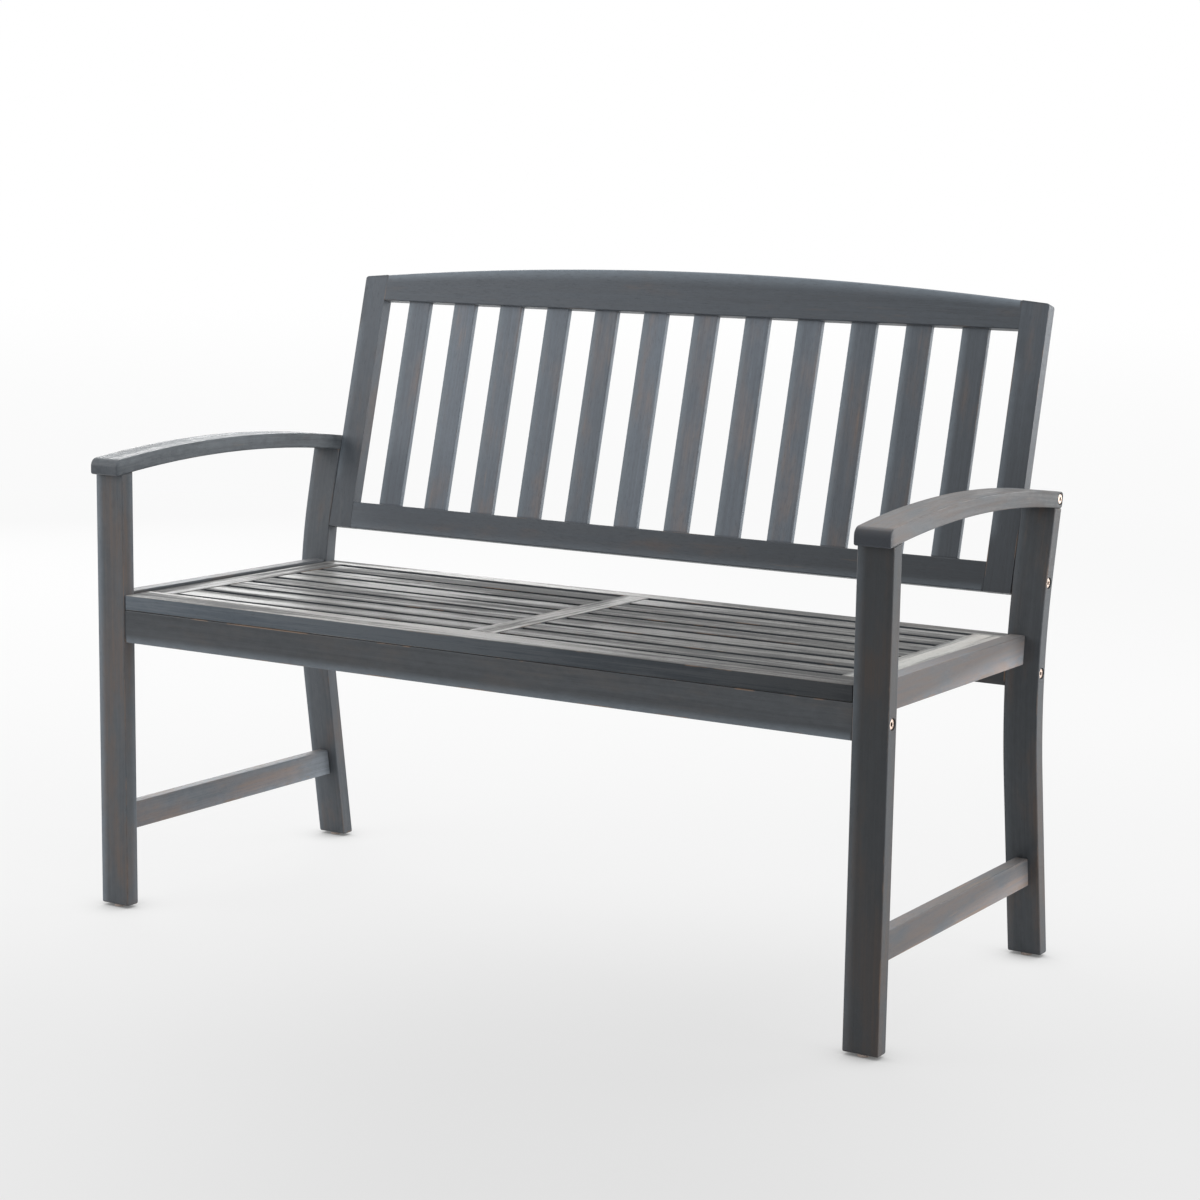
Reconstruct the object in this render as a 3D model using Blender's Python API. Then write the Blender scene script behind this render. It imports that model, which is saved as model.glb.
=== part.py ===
"""Slatted garden bench: two leg frames with arched armrests, bolted to a slatted seat and back.

Every board, rail, slat, bolt and glide is an object of its own. Lengths are in metres, +Z is up, +X is
to the right of someone facing the bench and +Y runs towards its back. The origin is on the floor, in
the middle of the footprint. The sizes below are measured from a datum where the front faces of the front
legs, the middle of the bench and the undersides of its legs meet.
"""

import math

import bmesh
import bpy
from mathutils import Matrix, Vector

# Fits and edges
FIT = 0.0003
EDGE_EASE = 0.0018
FOOT_ROUND = 0.003

# Overall frame
BENCH_WIDTH = 1.220
LEG_WIDTH = 0.0477

# Front legs
FRONT_LEG_DEPTH = 0.0226

# Rear legs, bent at a knee
REAR_LEG_THICKNESS = 0.022
REAR_FOOT_DISTANCE = 0.5093
REAR_LOWER_RAKE = math.radians(9.0)
REAR_UPPER_RAKE = math.radians(12.4)
REAR_KNEE_HEIGHT = 0.392
REAR_KNEE_RADIUS = 0.760
REAR_KNEE_STEPS = 10

# Armrests, bent to an arc
ARM_THICKNESS = 0.022
ARM_ARC_RADIUS = 2.090
ARM_CROWN_DISTANCE = 0.235
ARM_CROWN_HEIGHT = 0.6285
ARM_FRONT_OVERHANG = 0.011
ARM_REAR_OVERHANG = 0.002
ARM_NOSE_TOP_ROUND = 0.010
ARM_NOSE_UNDER_ROUND = 0.004
ARM_TAIL_ROUND = 0.0055
ARM_STEPS = 12

# Seat panel
SEAT_HEIGHT = 0.4472
SEAT_SLOPE = math.radians(0.73)
SEAT_FRONT_SETBACK = 0.002
SEAT_REAR_LAP = 0.0195
SEAT_SIDE_GAP = 0.0013
SEAT_RAIL_THICKNESS = 0.0203
SEAT_FRONT_RAIL_WIDTH = 0.0525
SEAT_REAR_RAIL_WIDTH = 0.031
SEAT_END_RAIL_WIDTH = 0.0414
SEAT_CENTRE_RAIL_WIDTH = 0.0406
SEAT_SLATS_PER_SIDE = 7
SEAT_SLAT_GAP = 0.0125
SEAT_SLAT_THICKNESS = 0.019
SEAT_SLAT_DROP = 0.0007

# Side rails
SIDE_APRON_INSET = 0.0031
SIDE_APRON_THICKNESS = 0.0224
SIDE_APRON_HEIGHT = 0.0391
SIDE_APRON_RISE = 0.0032
STRETCHER_THICKNESS = 0.018
STRETCHER_HEIGHT = 0.0387
STRETCHER_TOP_HEIGHT = 0.1438

# Front and rear aprons
APRON_THICKNESS = 0.019
APRON_HEIGHT = 0.046

# Back frame, leaning
BACK_LEAN = math.radians(14.37)
BACK_SEAT_GAP = 0.0561
BACK_SETBACK = 0.0029
BACK_THICKNESS = 0.0194
BACK_SIDE_GAP = 0.0008
STILE_WIDTH = 0.0393
BOTTOM_RAIL_WIDTH = 0.0399
CREST_UNDERSIDE_RISE = 0.3544
CREST_TOP_RISE = 0.4164
CREST_SAGITTA = 0.0259
CREST_REAR_ROUND = 0.007
CREST_FRONT_ROUND = 0.0035
STILE_CORNER_ROUND = 0.0035
CREST_STEPS = 20
BACK_SLAT_COUNT = 12
BACK_SLAT_WIDTH = 0.0388
BACK_SLAT_THICKNESS = 0.0097
BACK_SLAT_HOUSING = 0.012

# Tenons
TENON_SHOULDER = 0.005
TENON_ROOT = 0.006
SIDE_TENON_LENGTH = 0.013
SIDE_TENON_THICKNESS = 0.009
ARM_FRONT_TENON_LENGTH = 0.012
ARM_REAR_TENON_LENGTH = 0.005
ARM_TENON_THICKNESS = 0.010
APRON_TENON_LENGTH = 0.006
APRON_TENON_THICKNESS = 0.011
FRAME_TENON_LENGTH = 0.012
FRAME_TENON_THICKNESS = 0.008
SLAT_TENON_LENGTH = 0.012
SLAT_TENON_THICKNESS = 0.008

# Bolts with barrel nuts
BOLT_HEAD_RADIUS = 0.0066
BOLT_HEAD_THICKNESS = 0.0035
BOLT_HEAD_EASE = 0.0008
BOLT_RADIUS = 0.003
SOCKET_ACROSS_FLATS = 0.005
SOCKET_DEPTH = 0.0022
COUNTERBORE_PLAY = 0.0009
BOLT_RECESS = 0.0015
ARM_BOLT_RECESS = 0.0005
BOLT_TIP_LENGTH = 0.0045
NUT_RADIUS = 0.005
NUT_LENGTH = 0.014
APRON_NUT_DISTANCE = 0.030
FRONT_APRON_BOLT_DROP = 0.022
REAR_APRON_BOLT_DROP = 0.026
ARM_BOLT_RISE = 0.0123
ROUND_SEGMENTS = 20

# Fineness of the shapes
ROUND_STEPS = 3
RAIL_END_STEPS = 4
SETTLING_ROUNDS = 12
SHARP_ANGLE = math.radians(30)

# Glides nailed under the legs
GLIDE_RADIUS = 0.008
GLIDE_HEIGHT = 0.004
GLIDE_EASE = 0.001
GLIDE_PIN_RADIUS = 0.0015
GLIDE_PIN_LENGTH = 0.011

# Colours: red, green, blue, roughness, metallic
LEG_FINISH = (0.19, 0.195, 0.205, 0.62, 0.0)
ARM_FINISH = (0.30, 0.295, 0.285, 0.55, 0.0)
SEAT_FINISH = (0.33, 0.32, 0.30, 0.60, 0.0)
BACK_FINISH = (0.20, 0.205, 0.215, 0.60, 0.0)
APRON_FINISH = (0.17, 0.175, 0.185, 0.62, 0.0)
BOLT_FINISH = (0.45, 0.23, 0.11, 0.35, 1.0)
GLIDE_FINISH = (0.62, 0.60, 0.55, 0.50, 0.0)

# Places worked out from the sizes
SIDE_NAMES = {-1: "left", 1: "right"}
OUTER_FACE = BENCH_WIDTH / 2
INNER_FACE = OUTER_FACE - LEG_WIDTH
LEG_MIDDLE = (OUTER_FACE + INNER_FACE) / 2
SEAT_HALF_WIDTH = INNER_FACE - SEAT_SIDE_GAP
BACK_HALF_WIDTH = INNER_FACE - BACK_SIDE_GAP
STILE_INNER = BACK_HALF_WIDTH - STILE_WIDTH
CREST_RADIUS = (BACK_HALF_WIDTH ** 2 + CREST_SAGITTA ** 2) / (2 * CREST_SAGITTA)
APRON_MIDDLE_DEPTH = FRONT_LEG_DEPTH / 2


# Shapes of the curved pieces

def knee_centre():
    """Return the centre (y, z) of the rear leg's knee arc."""
    apex_y = REAR_FOOT_DISTANCE - REAR_KNEE_HEIGHT * math.tan(REAR_LOWER_RAKE)
    lower_normal = Vector((math.cos(REAR_LOWER_RAKE), math.sin(REAR_LOWER_RAKE)))
    upper_normal = Vector((math.cos(REAR_UPPER_RAKE), -math.sin(REAR_UPPER_RAKE)))
    reach = REAR_KNEE_RADIUS / (1.0 + lower_normal.dot(upper_normal))
    return Vector((apex_y, REAR_KNEE_HEIGHT)) + (lower_normal + upper_normal) * reach


def knee_point(angle, offset):
    """Return the point (y, z) of the knee arc at an angle, a given depth into the leg."""
    centre = knee_centre()
    radius = REAR_KNEE_RADIUS - offset
    return Vector((centre.x - radius * math.cos(angle), centre.y + radius * math.sin(angle)))


def rear_leg_y(height, offset=0.0):
    """Return how far back the rear leg's face lies at a height, a given depth into the leg."""
    lower = knee_point(-REAR_LOWER_RAKE, offset)
    upper = knee_point(REAR_UPPER_RAKE, offset)
    if height < lower.y:
        return lower.x + (lower.y - height) * math.tan(REAR_LOWER_RAKE)
    if height > upper.y:
        return upper.x + (height - upper.y) * math.tan(REAR_UPPER_RAKE)
    centre = knee_centre()
    radius = REAR_KNEE_RADIUS - offset
    return centre.x - math.sqrt(radius ** 2 - (height - centre.y) ** 2)


def rear_leg_middle(height):
    """Return the y of the rear leg's middle at a height."""
    return (rear_leg_y(height) + rear_leg_y(height, REAR_LEG_THICKNESS)) / 2


def arm_underside(y):
    """Return the height of the armrest's underside at a depth y."""
    fall = ARM_ARC_RADIUS - math.sqrt(ARM_ARC_RADIUS ** 2 - (y - ARM_CROWN_DISTANCE) ** 2)
    return ARM_CROWN_HEIGHT - fall


def rear_leg_top(offset):
    """Return the point (y, z) where a face of the rear leg meets the armrest."""
    height = ARM_CROWN_HEIGHT
    for _ in range(SETTLING_ROUNDS):
        height = arm_underside(rear_leg_y(height, offset)) - FIT
    return Vector((rear_leg_y(height, offset), height))


def seat_top(y):
    """Return the height of the seat rails' top at a depth y."""
    return SEAT_HEIGHT - (y - SEAT_FRONT_SETBACK) * math.tan(SEAT_SLOPE)


def seat_underside(y):
    """Return the height of the seat rails' underside at a depth y."""
    return seat_top(y) - SEAT_RAIL_THICKNESS / math.cos(SEAT_SLOPE)


def side_apron_top(y):
    """Return the height of the side apron's top at a depth y."""
    return seat_top(y) + SIDE_APRON_RISE


def stretcher_top(y):
    """Return the height of the side stretcher's top at a depth y."""
    return STRETCHER_TOP_HEIGHT - (y - FRONT_LEG_DEPTH) * math.tan(SEAT_SLOPE)


def crest_top(x):
    """Return how far up the back the arched top lies at a distance x from the middle."""
    return CREST_TOP_RISE - (CREST_RADIUS - math.sqrt(CREST_RADIUS ** 2 - x ** 2))


def arm_bolt_place():
    """Return the point (y, z) where the armrest's bolt crosses the middle of the back."""
    height = ARM_CROWN_HEIGHT
    for _ in range(SETTLING_ROUNDS):
        height = arm_underside(rear_leg_middle(height) + BACK_SETBACK) + ARM_BOLT_RISE
    return Vector((rear_leg_middle(height) + BACK_SETBACK, height))


def back_base():
    """Return the point (y, z) of the lower front edge of the back's stiles.

    The back hangs from the armrests' bolts at its lean, and ends a gap above the seat.
    """
    bolt = arm_bolt_place()
    front_y = bolt.x - BACK_THICKNESS / 2 * math.cos(BACK_LEAN)
    front_z = bolt.y + BACK_THICKNESS / 2 * math.sin(BACK_LEAN)
    height = seat_top(REAR_FOOT_DISTANCE) + BACK_SEAT_GAP
    return Vector((front_y - (front_z - height) * math.tan(BACK_LEAN), height))


def back_point(depth, rise):
    """Return the point (y, z) at a depth into the back and a rise up along it."""
    base = back_base()
    y = base.x + depth * math.cos(BACK_LEAN) + rise * math.sin(BACK_LEAN)
    z = base.y - depth * math.sin(BACK_LEAN) + rise * math.cos(BACK_LEAN)
    return Vector((y, z))


def arm_bolt_rise():
    """Return how far up the back the armrest's bolt lies."""
    return (arm_bolt_place() - back_point(BACK_THICKNESS / 2, 0.0)).length


def footprint_middle():
    """Return the y halfway between the armrests' noses and the rearmost edge of the back."""
    rear = back_point(BACK_THICKNESS, CREST_TOP_RISE - CREST_REAR_ROUND).x
    return (rear - ARM_FRONT_OVERHANG) / 2


# Outlines

def fillet(corners, steps=ROUND_STEPS):
    """Return an outline in which each corner (a, b, radius) is rounded by its radius."""
    points = []
    for index, (a, b, radius) in enumerate(corners):
        corner = Vector((a, b))
        if radius <= 0.0:
            points.append(corner)
            continue
        before = Vector(corners[index - 1][:2]) - corner
        after = Vector(corners[(index + 1) % len(corners)][:2]) - corner
        before.normalize()
        after.normalize()
        half = before.angle(after) / 2
        centre = corner + (before + after).normalized() * radius / math.sin(half)
        start = corner + before * radius / math.tan(half) - centre
        end = corner + after * radius / math.tan(half) - centre
        for step in range(steps + 1):
            points.append(centre + start.slerp(end, step / steps) * radius)
    return points


def knee_arc(offset, steps):
    """Return the corners along one face of the rear leg's knee, from its foot upwards."""
    sweep = REAR_LOWER_RAKE + REAR_UPPER_RAKE
    angles = [-REAR_LOWER_RAKE + sweep * step / steps for step in range(steps + 1)]
    return [(*knee_point(angle, offset), 0.0) for angle in angles]


def front_leg_outline():
    """Return the front leg's outline in (y, z)."""
    return fillet([
        (0.0, 0.0, FOOT_ROUND),
        (FRONT_LEG_DEPTH, 0.0, FOOT_ROUND),
        (FRONT_LEG_DEPTH, arm_underside(FRONT_LEG_DEPTH) - FIT, 0.0),
        (0.0, arm_underside(0.0) - FIT, 0.0),
    ])


def rear_leg_outline():
    """Return the rear leg's outline in (y, z)."""
    front = knee_arc(0.0, REAR_KNEE_STEPS)
    rear = knee_arc(REAR_LEG_THICKNESS, REAR_KNEE_STEPS)
    corners = [(rear_leg_y(0.0, REAR_LEG_THICKNESS), 0.0, FOOT_ROUND)]
    corners += rear
    corners.append((*rear_leg_top(REAR_LEG_THICKNESS), 0.0))
    corners.append((*rear_leg_top(0.0), 0.0))
    corners += reversed(front)
    corners.append((rear_leg_y(0.0), 0.0, FOOT_ROUND))
    return fillet(corners)


def arm_outline():
    """Return the armrest's outline in (y, z), with its rounded nose and tail."""
    centre = Vector((ARM_CROWN_DISTANCE, ARM_CROWN_HEIGHT - ARM_ARC_RADIUS))
    top_radius = ARM_ARC_RADIUS + ARM_THICKNESS
    nose_y = -ARM_FRONT_OVERHANG
    tail_y = rear_leg_top(REAR_LEG_THICKNESS).x + ARM_REAR_OVERHANG
    tail = math.asin((tail_y - centre.x) / ARM_ARC_RADIUS)
    under_nose = math.asin((nose_y - centre.x) / ARM_ARC_RADIUS)
    top_nose = math.asin((nose_y - centre.x) / top_radius)
    corners = []
    for step in range(ARM_STEPS + 1):
        angle = under_nose + (tail - under_nose) * step / ARM_STEPS
        radius = {0: ARM_NOSE_UNDER_ROUND, ARM_STEPS: ARM_TAIL_ROUND}.get(step, 0.0)
        corners.append((centre.x + ARM_ARC_RADIUS * math.sin(angle),
                        centre.y + ARM_ARC_RADIUS * math.cos(angle), radius))
    for step in range(ARM_STEPS + 1):
        angle = tail + (top_nose - tail) * step / ARM_STEPS
        radius = {0: ARM_TAIL_ROUND, ARM_STEPS: ARM_NOSE_TOP_ROUND}.get(step, 0.0)
        corners.append((centre.x + top_radius * math.sin(angle),
                        centre.y + top_radius * math.cos(angle), radius))
    return fillet(corners, 4)


def side_rail_outline(top, height):
    """Return the outline in (y, z) of a rail that runs from the front leg to the rear leg."""
    start = FRONT_LEG_DEPTH + FIT
    high = top(rear_leg_y(top(REAR_FOOT_DISTANCE)))
    end_heights = [high - height * step / RAIL_END_STEPS for step in range(RAIL_END_STEPS + 1)]
    points = [Vector((start, top(start) - height)), Vector((start, top(start)))]
    points += [Vector((rear_leg_y(z) - FIT, z)) for z in end_heights]
    return points


def crest_outline():
    """Return the crest rail's outline in (x, z) of the back."""
    half = STILE_INNER - FIT
    points = [Vector((-half, CREST_UNDERSIDE_RISE)), Vector((half, CREST_UNDERSIDE_RISE))]
    for step in range(CREST_STEPS + 1):
        x = half - 2 * half * step / CREST_STEPS
        points.append(Vector((x, crest_top(x))))
    return points


def stile_outline(side):
    """Return a stile's outline in (x, z) of the back, cut to the crest's arch."""
    return fillet([
        (side * STILE_INNER, 0.0, 0.0),
        (side * BACK_HALF_WIDTH, 0.0, 0.0),
        (side * BACK_HALF_WIDTH, crest_top(BACK_HALF_WIDTH), STILE_CORNER_ROUND),
        (side * STILE_INNER, crest_top(STILE_INNER), 0.0),
    ], 2)


# Scene helpers

def clear_scene():
    """Remove every object from the scene."""
    for item in list(bpy.data.objects):
        bpy.data.objects.remove(item, do_unlink=True)


def make_material(name, finish):
    """Return a material with a colour, roughness and metallic value."""
    red, green, blue, roughness, metallic = finish
    material = bpy.data.materials.new(name)
    material.use_nodes = True
    shader = material.node_tree.nodes["Principled BSDF"]
    shader.inputs["Base Color"].default_value = (red, green, blue, 1.0)
    shader.inputs["Roughness"].default_value = roughness
    shader.inputs["Metallic"].default_value = metallic
    material.diffuse_color = (red, green, blue, 1.0)
    return material


def add_frame(name, location, tilt=0.0, parent=None):
    """Add an empty that carries the pieces built around it, tilted about X."""
    frame = bpy.data.objects.new(name, None)
    bpy.context.scene.collection.objects.link(frame)
    frame.location = location
    frame.rotation_euler = (tilt, 0.0, 0.0)
    frame.parent = parent
    return frame


def add_object(name, bm, frame, location, material=None):
    """Turn a bmesh into an object under a frame; one without material is a cutting or joining tool."""
    bmesh.ops.recalc_face_normals(bm, faces=bm.faces)
    mesh = bpy.data.meshes.new(name)
    bm.to_mesh(mesh)
    bm.free()
    item = bpy.data.objects.new(name, mesh)
    bpy.context.scene.collection.objects.link(item)
    item.parent = frame
    item.location = location
    if material is None:
        item.hide_render = True
        item.display_type = "WIRE"
    else:
        mesh.materials.append(material)
    return item


def use_tool(piece, tool, operation):
    """Join a tool to a piece, or cut the piece with it."""
    step = piece.modifiers.new(tool.name, "BOOLEAN")
    step.operation = operation
    step.solver = "EXACT"
    step.object = tool


# Piece builders

def box_bmesh(boxes):
    """Return a bmesh of boxes, each given by its low and high corner."""
    bm = bmesh.new()
    for low, high in boxes:
        low = Vector(low)
        high = Vector(high)
        place = Matrix.Translation((low + high) / 2) @ Matrix.Diagonal((*(high - low), 1.0))
        bmesh.ops.create_cube(bm, size=1.0, matrix=place)
    return bm


def ease_edges(bm, width, segments, chosen):
    """Bevel the edges whose two face normals pass a test, taken either way round."""
    edges = []
    for edge in bm.edges:
        first, second = (face.normal for face in edge.link_faces)
        if first.angle(second) < SHARP_ANGLE:
            continue
        if chosen(first, second) or chosen(second, first):
            edges.append(edge)
    bmesh.ops.bevel(bm, geom=edges, offset=width, offset_type="OFFSET", segments=segments,
                    profile=0.5, affect="EDGES", clamp_overlap=True, material=-1)
    bm.normal_update()


def add_board(name, low, high, frame, material):
    """Add a straight board between two corners, with its long edges eased."""
    low = Vector(low)
    high = Vector(high)
    middle = (low + high) / 2
    size = high - low
    bm = box_bmesh([(low - middle, high - middle)])
    bm.normal_update()
    grain = max(range(3), key=lambda axis: size[axis])
    ease_edges(bm, min(EDGE_EASE, min(size) / 4), 1,
               lambda first, second: abs(first[grain]) < 0.5 and abs(second[grain]) < 0.5)
    return add_object(name, bm, frame, middle, material)


def extruded_bmesh(outline, thickness, across):
    """Return a bmesh of an outline extruded by a thickness across X or Y, centred on the outline's box."""
    low = Vector((min(point.x for point in outline), min(point.y for point in outline)))
    high = Vector((max(point.x for point in outline), max(point.y for point in outline)))
    middle = (low + high) / 2
    bm = bmesh.new()
    verts = []
    for point in outline:
        flat = point - middle
        if across == "X":
            verts.append(bm.verts.new((-thickness / 2, flat.x, flat.y)))
        else:
            verts.append(bm.verts.new((flat.x, -thickness / 2, flat.y)))
    face = bm.faces.new(verts)
    grown = bmesh.ops.extrude_face_region(bm, geom=[face])
    push = Vector((thickness, 0.0, 0.0)) if across == "X" else Vector((0.0, thickness, 0.0))
    moved = [item for item in grown["geom"] if isinstance(item, bmesh.types.BMVert)]
    bmesh.ops.translate(bm, verts=moved, vec=push)
    bmesh.ops.recalc_face_normals(bm, faces=bm.faces)
    bm.normal_update()
    return bm, middle


def add_side_board(name, outline, middle_x, thickness, frame, material):
    """Add a board cut to an outline in (y, z), with both rims eased."""
    bm, middle = extruded_bmesh(outline, thickness, "X")
    ease_edges(bm, EDGE_EASE, 1, lambda first, second: abs(first.x) > 0.9 and abs(second.x) < 0.5)
    return add_object(name, bm, frame, (middle_x, middle.x, middle.y), material)


def add_back_board(name, outline, grain, frame, material):
    """Add a board of the back cut to an outline in (x, z), rounded along its arched top.

    grain is the axis that the board is longest along, whose edges are eased.
    """
    bm, middle = extruded_bmesh(outline, BACK_THICKNESS, "Y")
    ease_edges(bm, CREST_REAR_ROUND, ROUND_STEPS, lambda first, second: first.y > 0.9 and second.z > 0.6)
    ease_edges(bm, CREST_FRONT_ROUND, 2, lambda first, second: first.y < -0.9 and second.z > 0.6)
    ease_edges(bm, EDGE_EASE, 1, lambda first, second: abs(first.y) > 0.99 and
               abs(second.y) < 0.01 and abs(second[grain]) < 0.3)
    return add_object(name, bm, frame, (middle.x, BACK_THICKNESS / 2, middle.y), material)


def turned_bmesh(profile):
    """Return a bmesh of a profile of (radius, z) turned about Z, closed at both ends on the axis."""
    bm = bmesh.new()
    verts = [bm.verts.new((radius, 0.0, z)) for radius, z in profile]
    edges = [bm.edges.new(pair) for pair in zip(verts, verts[1:])]
    bmesh.ops.spin(bm, geom=verts + edges, cent=(0.0, 0.0, 0.0), axis=(0.0, 0.0, 1.0),
                   angle=2 * math.pi, steps=ROUND_SEGMENTS, use_merge=True)
    bmesh.ops.remove_doubles(bm, verts=bm.verts, dist=0.000001)
    return bm


def shade_round(item):
    """Shade a round piece smooth, with its corners kept sharp."""
    item.data.shade_smooth()
    item.data.set_sharp_from_angle(angle=SHARP_ANGLE)


def add_joint(owner, receiver, shoulder, axis, length, section):
    """Grow a tenon on a piece and cut its mortise in another.

    The tenon starts at a point on the owner's end, runs along a signed unit axis of the owner's frame
    and has a section given by its two sizes across that axis.
    """
    axis = Vector(axis)
    shoulder = Vector(shoulder)
    across = [index for index in range(3) if abs(axis[index]) < 0.5]
    spread = Vector((0.0, 0.0, 0.0))
    play = Vector((0.0, 0.0, 0.0))
    for index, size in zip(across, section):
        spread[index] = size / 2
        play[index] = FIT
    label = f"{owner.name}_in_{receiver.name}"
    root = shoulder - axis * TENON_ROOT
    tip = shoulder + axis * length
    tenon = sorted_box(root - spread, tip + spread)
    mortise = sorted_box(root - spread - play, tip + axis * FIT + spread + play)
    use_tool(owner, add_object(f"tenon_{label}", box_bmesh([tenon]), owner.parent, (0, 0, 0)), "UNION")
    use_tool(receiver, add_object(f"mortise_{label}", box_bmesh([mortise]), owner.parent, (0, 0, 0)),
             "DIFFERENCE")


def sorted_box(first, second):
    """Return a box's low and high corner from any two opposite corners."""
    low = Vector(map(min, first, second))
    high = Vector(map(max, first, second))
    return low, high


# Leg frames

def build_side(side, datum, wood):
    """Build one leg frame: front leg, rear leg, armrest, side apron and stretcher."""
    name = SIDE_NAMES[side]
    leg_x = side * LEG_MIDDLE
    front_leg = add_side_board(f"front_leg_{name}", front_leg_outline(), leg_x, LEG_WIDTH, datum,
                               wood["leg"])
    rear_leg = add_side_board(f"rear_leg_{name}", rear_leg_outline(), leg_x, LEG_WIDTH, datum,
                              wood["leg"])
    armrest = add_side_board(f"armrest_{name}", arm_outline(), leg_x, LEG_WIDTH, datum, wood["arm"])
    apron_x = side * (INNER_FACE + SIDE_APRON_INSET + SIDE_APRON_THICKNESS / 2)
    side_apron = add_side_board(f"side_apron_{name}",
                                side_rail_outline(side_apron_top, SIDE_APRON_HEIGHT),
                                apron_x, SIDE_APRON_THICKNESS, datum, wood["leg"])
    stretcher = add_side_board(f"side_stretcher_{name}",
                               side_rail_outline(stretcher_top, STRETCHER_HEIGHT),
                               leg_x, STRETCHER_THICKNESS, datum, wood["leg"])
    join_arm(front_leg, rear_leg, armrest, leg_x)
    join_side_rail(side_apron, front_leg, rear_leg, apron_x, side_apron_top, SIDE_APRON_HEIGHT)
    join_side_rail(stretcher, front_leg, rear_leg, leg_x, stretcher_top, STRETCHER_HEIGHT)
    return {"front_leg": front_leg, "rear_leg": rear_leg, "armrest": armrest}


def join_arm(front_leg, rear_leg, armrest, leg_x):
    """Tenon the tops of both legs into the armrest."""
    width = LEG_WIDTH - 4 * TENON_SHOULDER
    front_y = FRONT_LEG_DEPTH / 2
    front_top = (leg_x, front_y, arm_underside(front_y))
    add_joint(front_leg, armrest, front_top, (0, 0, 1), ARM_FRONT_TENON_LENGTH,
              (width, ARM_TENON_THICKNESS))
    rear_top = (rear_leg_top(0.0) + rear_leg_top(REAR_LEG_THICKNESS)) / 2
    add_joint(rear_leg, armrest, (leg_x, *rear_top), (0, 0, 1), ARM_REAR_TENON_LENGTH,
              (width, ARM_TENON_THICKNESS))


def join_side_rail(rail, front_leg, rear_leg, rail_x, top, height):
    """Tenon both ends of a side rail into the legs."""
    section = (SIDE_TENON_THICKNESS, height - 2 * TENON_SHOULDER)
    front_y = FRONT_LEG_DEPTH + FIT
    front_end = (rail_x, front_y, top(front_y) - height / 2)
    add_joint(rail, front_leg, front_end, (0, -1, 0), SIDE_TENON_LENGTH, section)
    middle_z = top(REAR_FOOT_DISTANCE) - height / 2
    rear_y = rear_leg_y(middle_z) - FIT
    rear_end = (rail_x, rear_y, top(rear_y) - height / 2)
    add_joint(rail, rear_leg, rear_end, (0, 1, 0), SIDE_TENON_LENGTH, section)


# Aprons

def build_aprons(datum, wood, sides):
    """Build the front and rear aprons, housed between the legs, and return their bolt places."""
    rear_height = seat_underside(REAR_FOOT_DISTANCE) - APRON_HEIGHT / 2
    rear_middle = rear_leg_middle(rear_height)
    places = {
        "front": (APRON_MIDDLE_DEPTH, FRONT_APRON_BOLT_DROP),
        "rear": (rear_middle, REAR_APRON_BOLT_DROP),
    }
    aprons = {}
    for name, (middle_y, bolt_drop) in places.items():
        front = middle_y - APRON_THICKNESS / 2
        back = middle_y + APRON_THICKNESS / 2
        top = seat_underside(back) - FIT
        half = INNER_FACE - FIT
        apron = add_board(f"{name}_apron", (-half, front, top - APRON_HEIGHT), (half, back, top), datum,
                          wood["apron"])
        for side, pieces in sides.items():
            end = (side * half, middle_y, top - APRON_HEIGHT / 2)
            add_joint(apron, pieces[f"{name}_leg"], end, (side, 0, 0), APRON_TENON_LENGTH,
                      (APRON_TENON_THICKNESS, APRON_HEIGHT - 2 * TENON_SHOULDER))
        aprons[name] = (apron, middle_y, top - bolt_drop)
    return aprons


# Seat panel

def build_seat(datum, wood):
    """Build the seat panel: its front, rear, end and centre rails, and two rows of slats."""
    frame = add_frame("seat_frame", (0.0, SEAT_FRONT_SETBACK, SEAT_HEIGHT), -SEAT_SLOPE, datum)
    rear_edge = rear_leg_y(seat_top(REAR_FOOT_DISTANCE)) + SEAT_REAR_LAP
    depth = (rear_edge - SEAT_FRONT_SETBACK) / math.cos(SEAT_SLOPE)
    front_inner = SEAT_FRONT_RAIL_WIDTH
    rear_inner = depth - SEAT_REAR_RAIL_WIDTH
    under = -SEAT_RAIL_THICKNESS
    front_rail = add_board("seat_front_rail", (-SEAT_HALF_WIDTH, 0.0, under),
                           (SEAT_HALF_WIDTH, front_inner, 0.0), frame, wood["seat"])
    rear_rail = add_board("seat_rear_rail", (-SEAT_HALF_WIDTH, rear_inner, under),
                          (SEAT_HALF_WIDTH, depth, 0.0), frame, wood["seat"])
    end_inner = SEAT_HALF_WIDTH - SEAT_END_RAIL_WIDTH
    centre_half = SEAT_CENTRE_RAIL_WIDTH / 2
    spans = {"seat_centre_rail": (-centre_half, centre_half)}
    for side, name in SIDE_NAMES.items():
        edges = sorted((side * end_inner, side * SEAT_HALF_WIDTH))
        spans[f"seat_end_rail_{name}"] = edges
    rails = {}
    for name, (low_x, high_x) in spans.items():
        rail = add_board(name, (low_x, front_inner + FIT, under), (high_x, rear_inner - FIT, 0.0), frame,
                         wood["seat"])
        section = (high_x - low_x - 2 * TENON_SHOULDER, FRAME_TENON_THICKNESS)
        middle_x = (low_x + high_x) / 2
        for receiver, y, way in ((front_rail, front_inner + FIT, -1), (rear_rail, rear_inner - FIT, 1)):
            add_joint(rail, receiver, (middle_x, y, under / 2), (0, way, 0), FRAME_TENON_LENGTH, section)
        rails[name] = rail
    for side, name in SIDE_NAMES.items():
        inner = (side * (centre_half + FIT), side * (end_inner - FIT))
        add_seat_slats(name, sorted(inner), front_inner, rear_inner, frame, wood["seat"],
                       (rails["seat_centre_rail"], rails[f"seat_end_rail_{name}"]))


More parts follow.
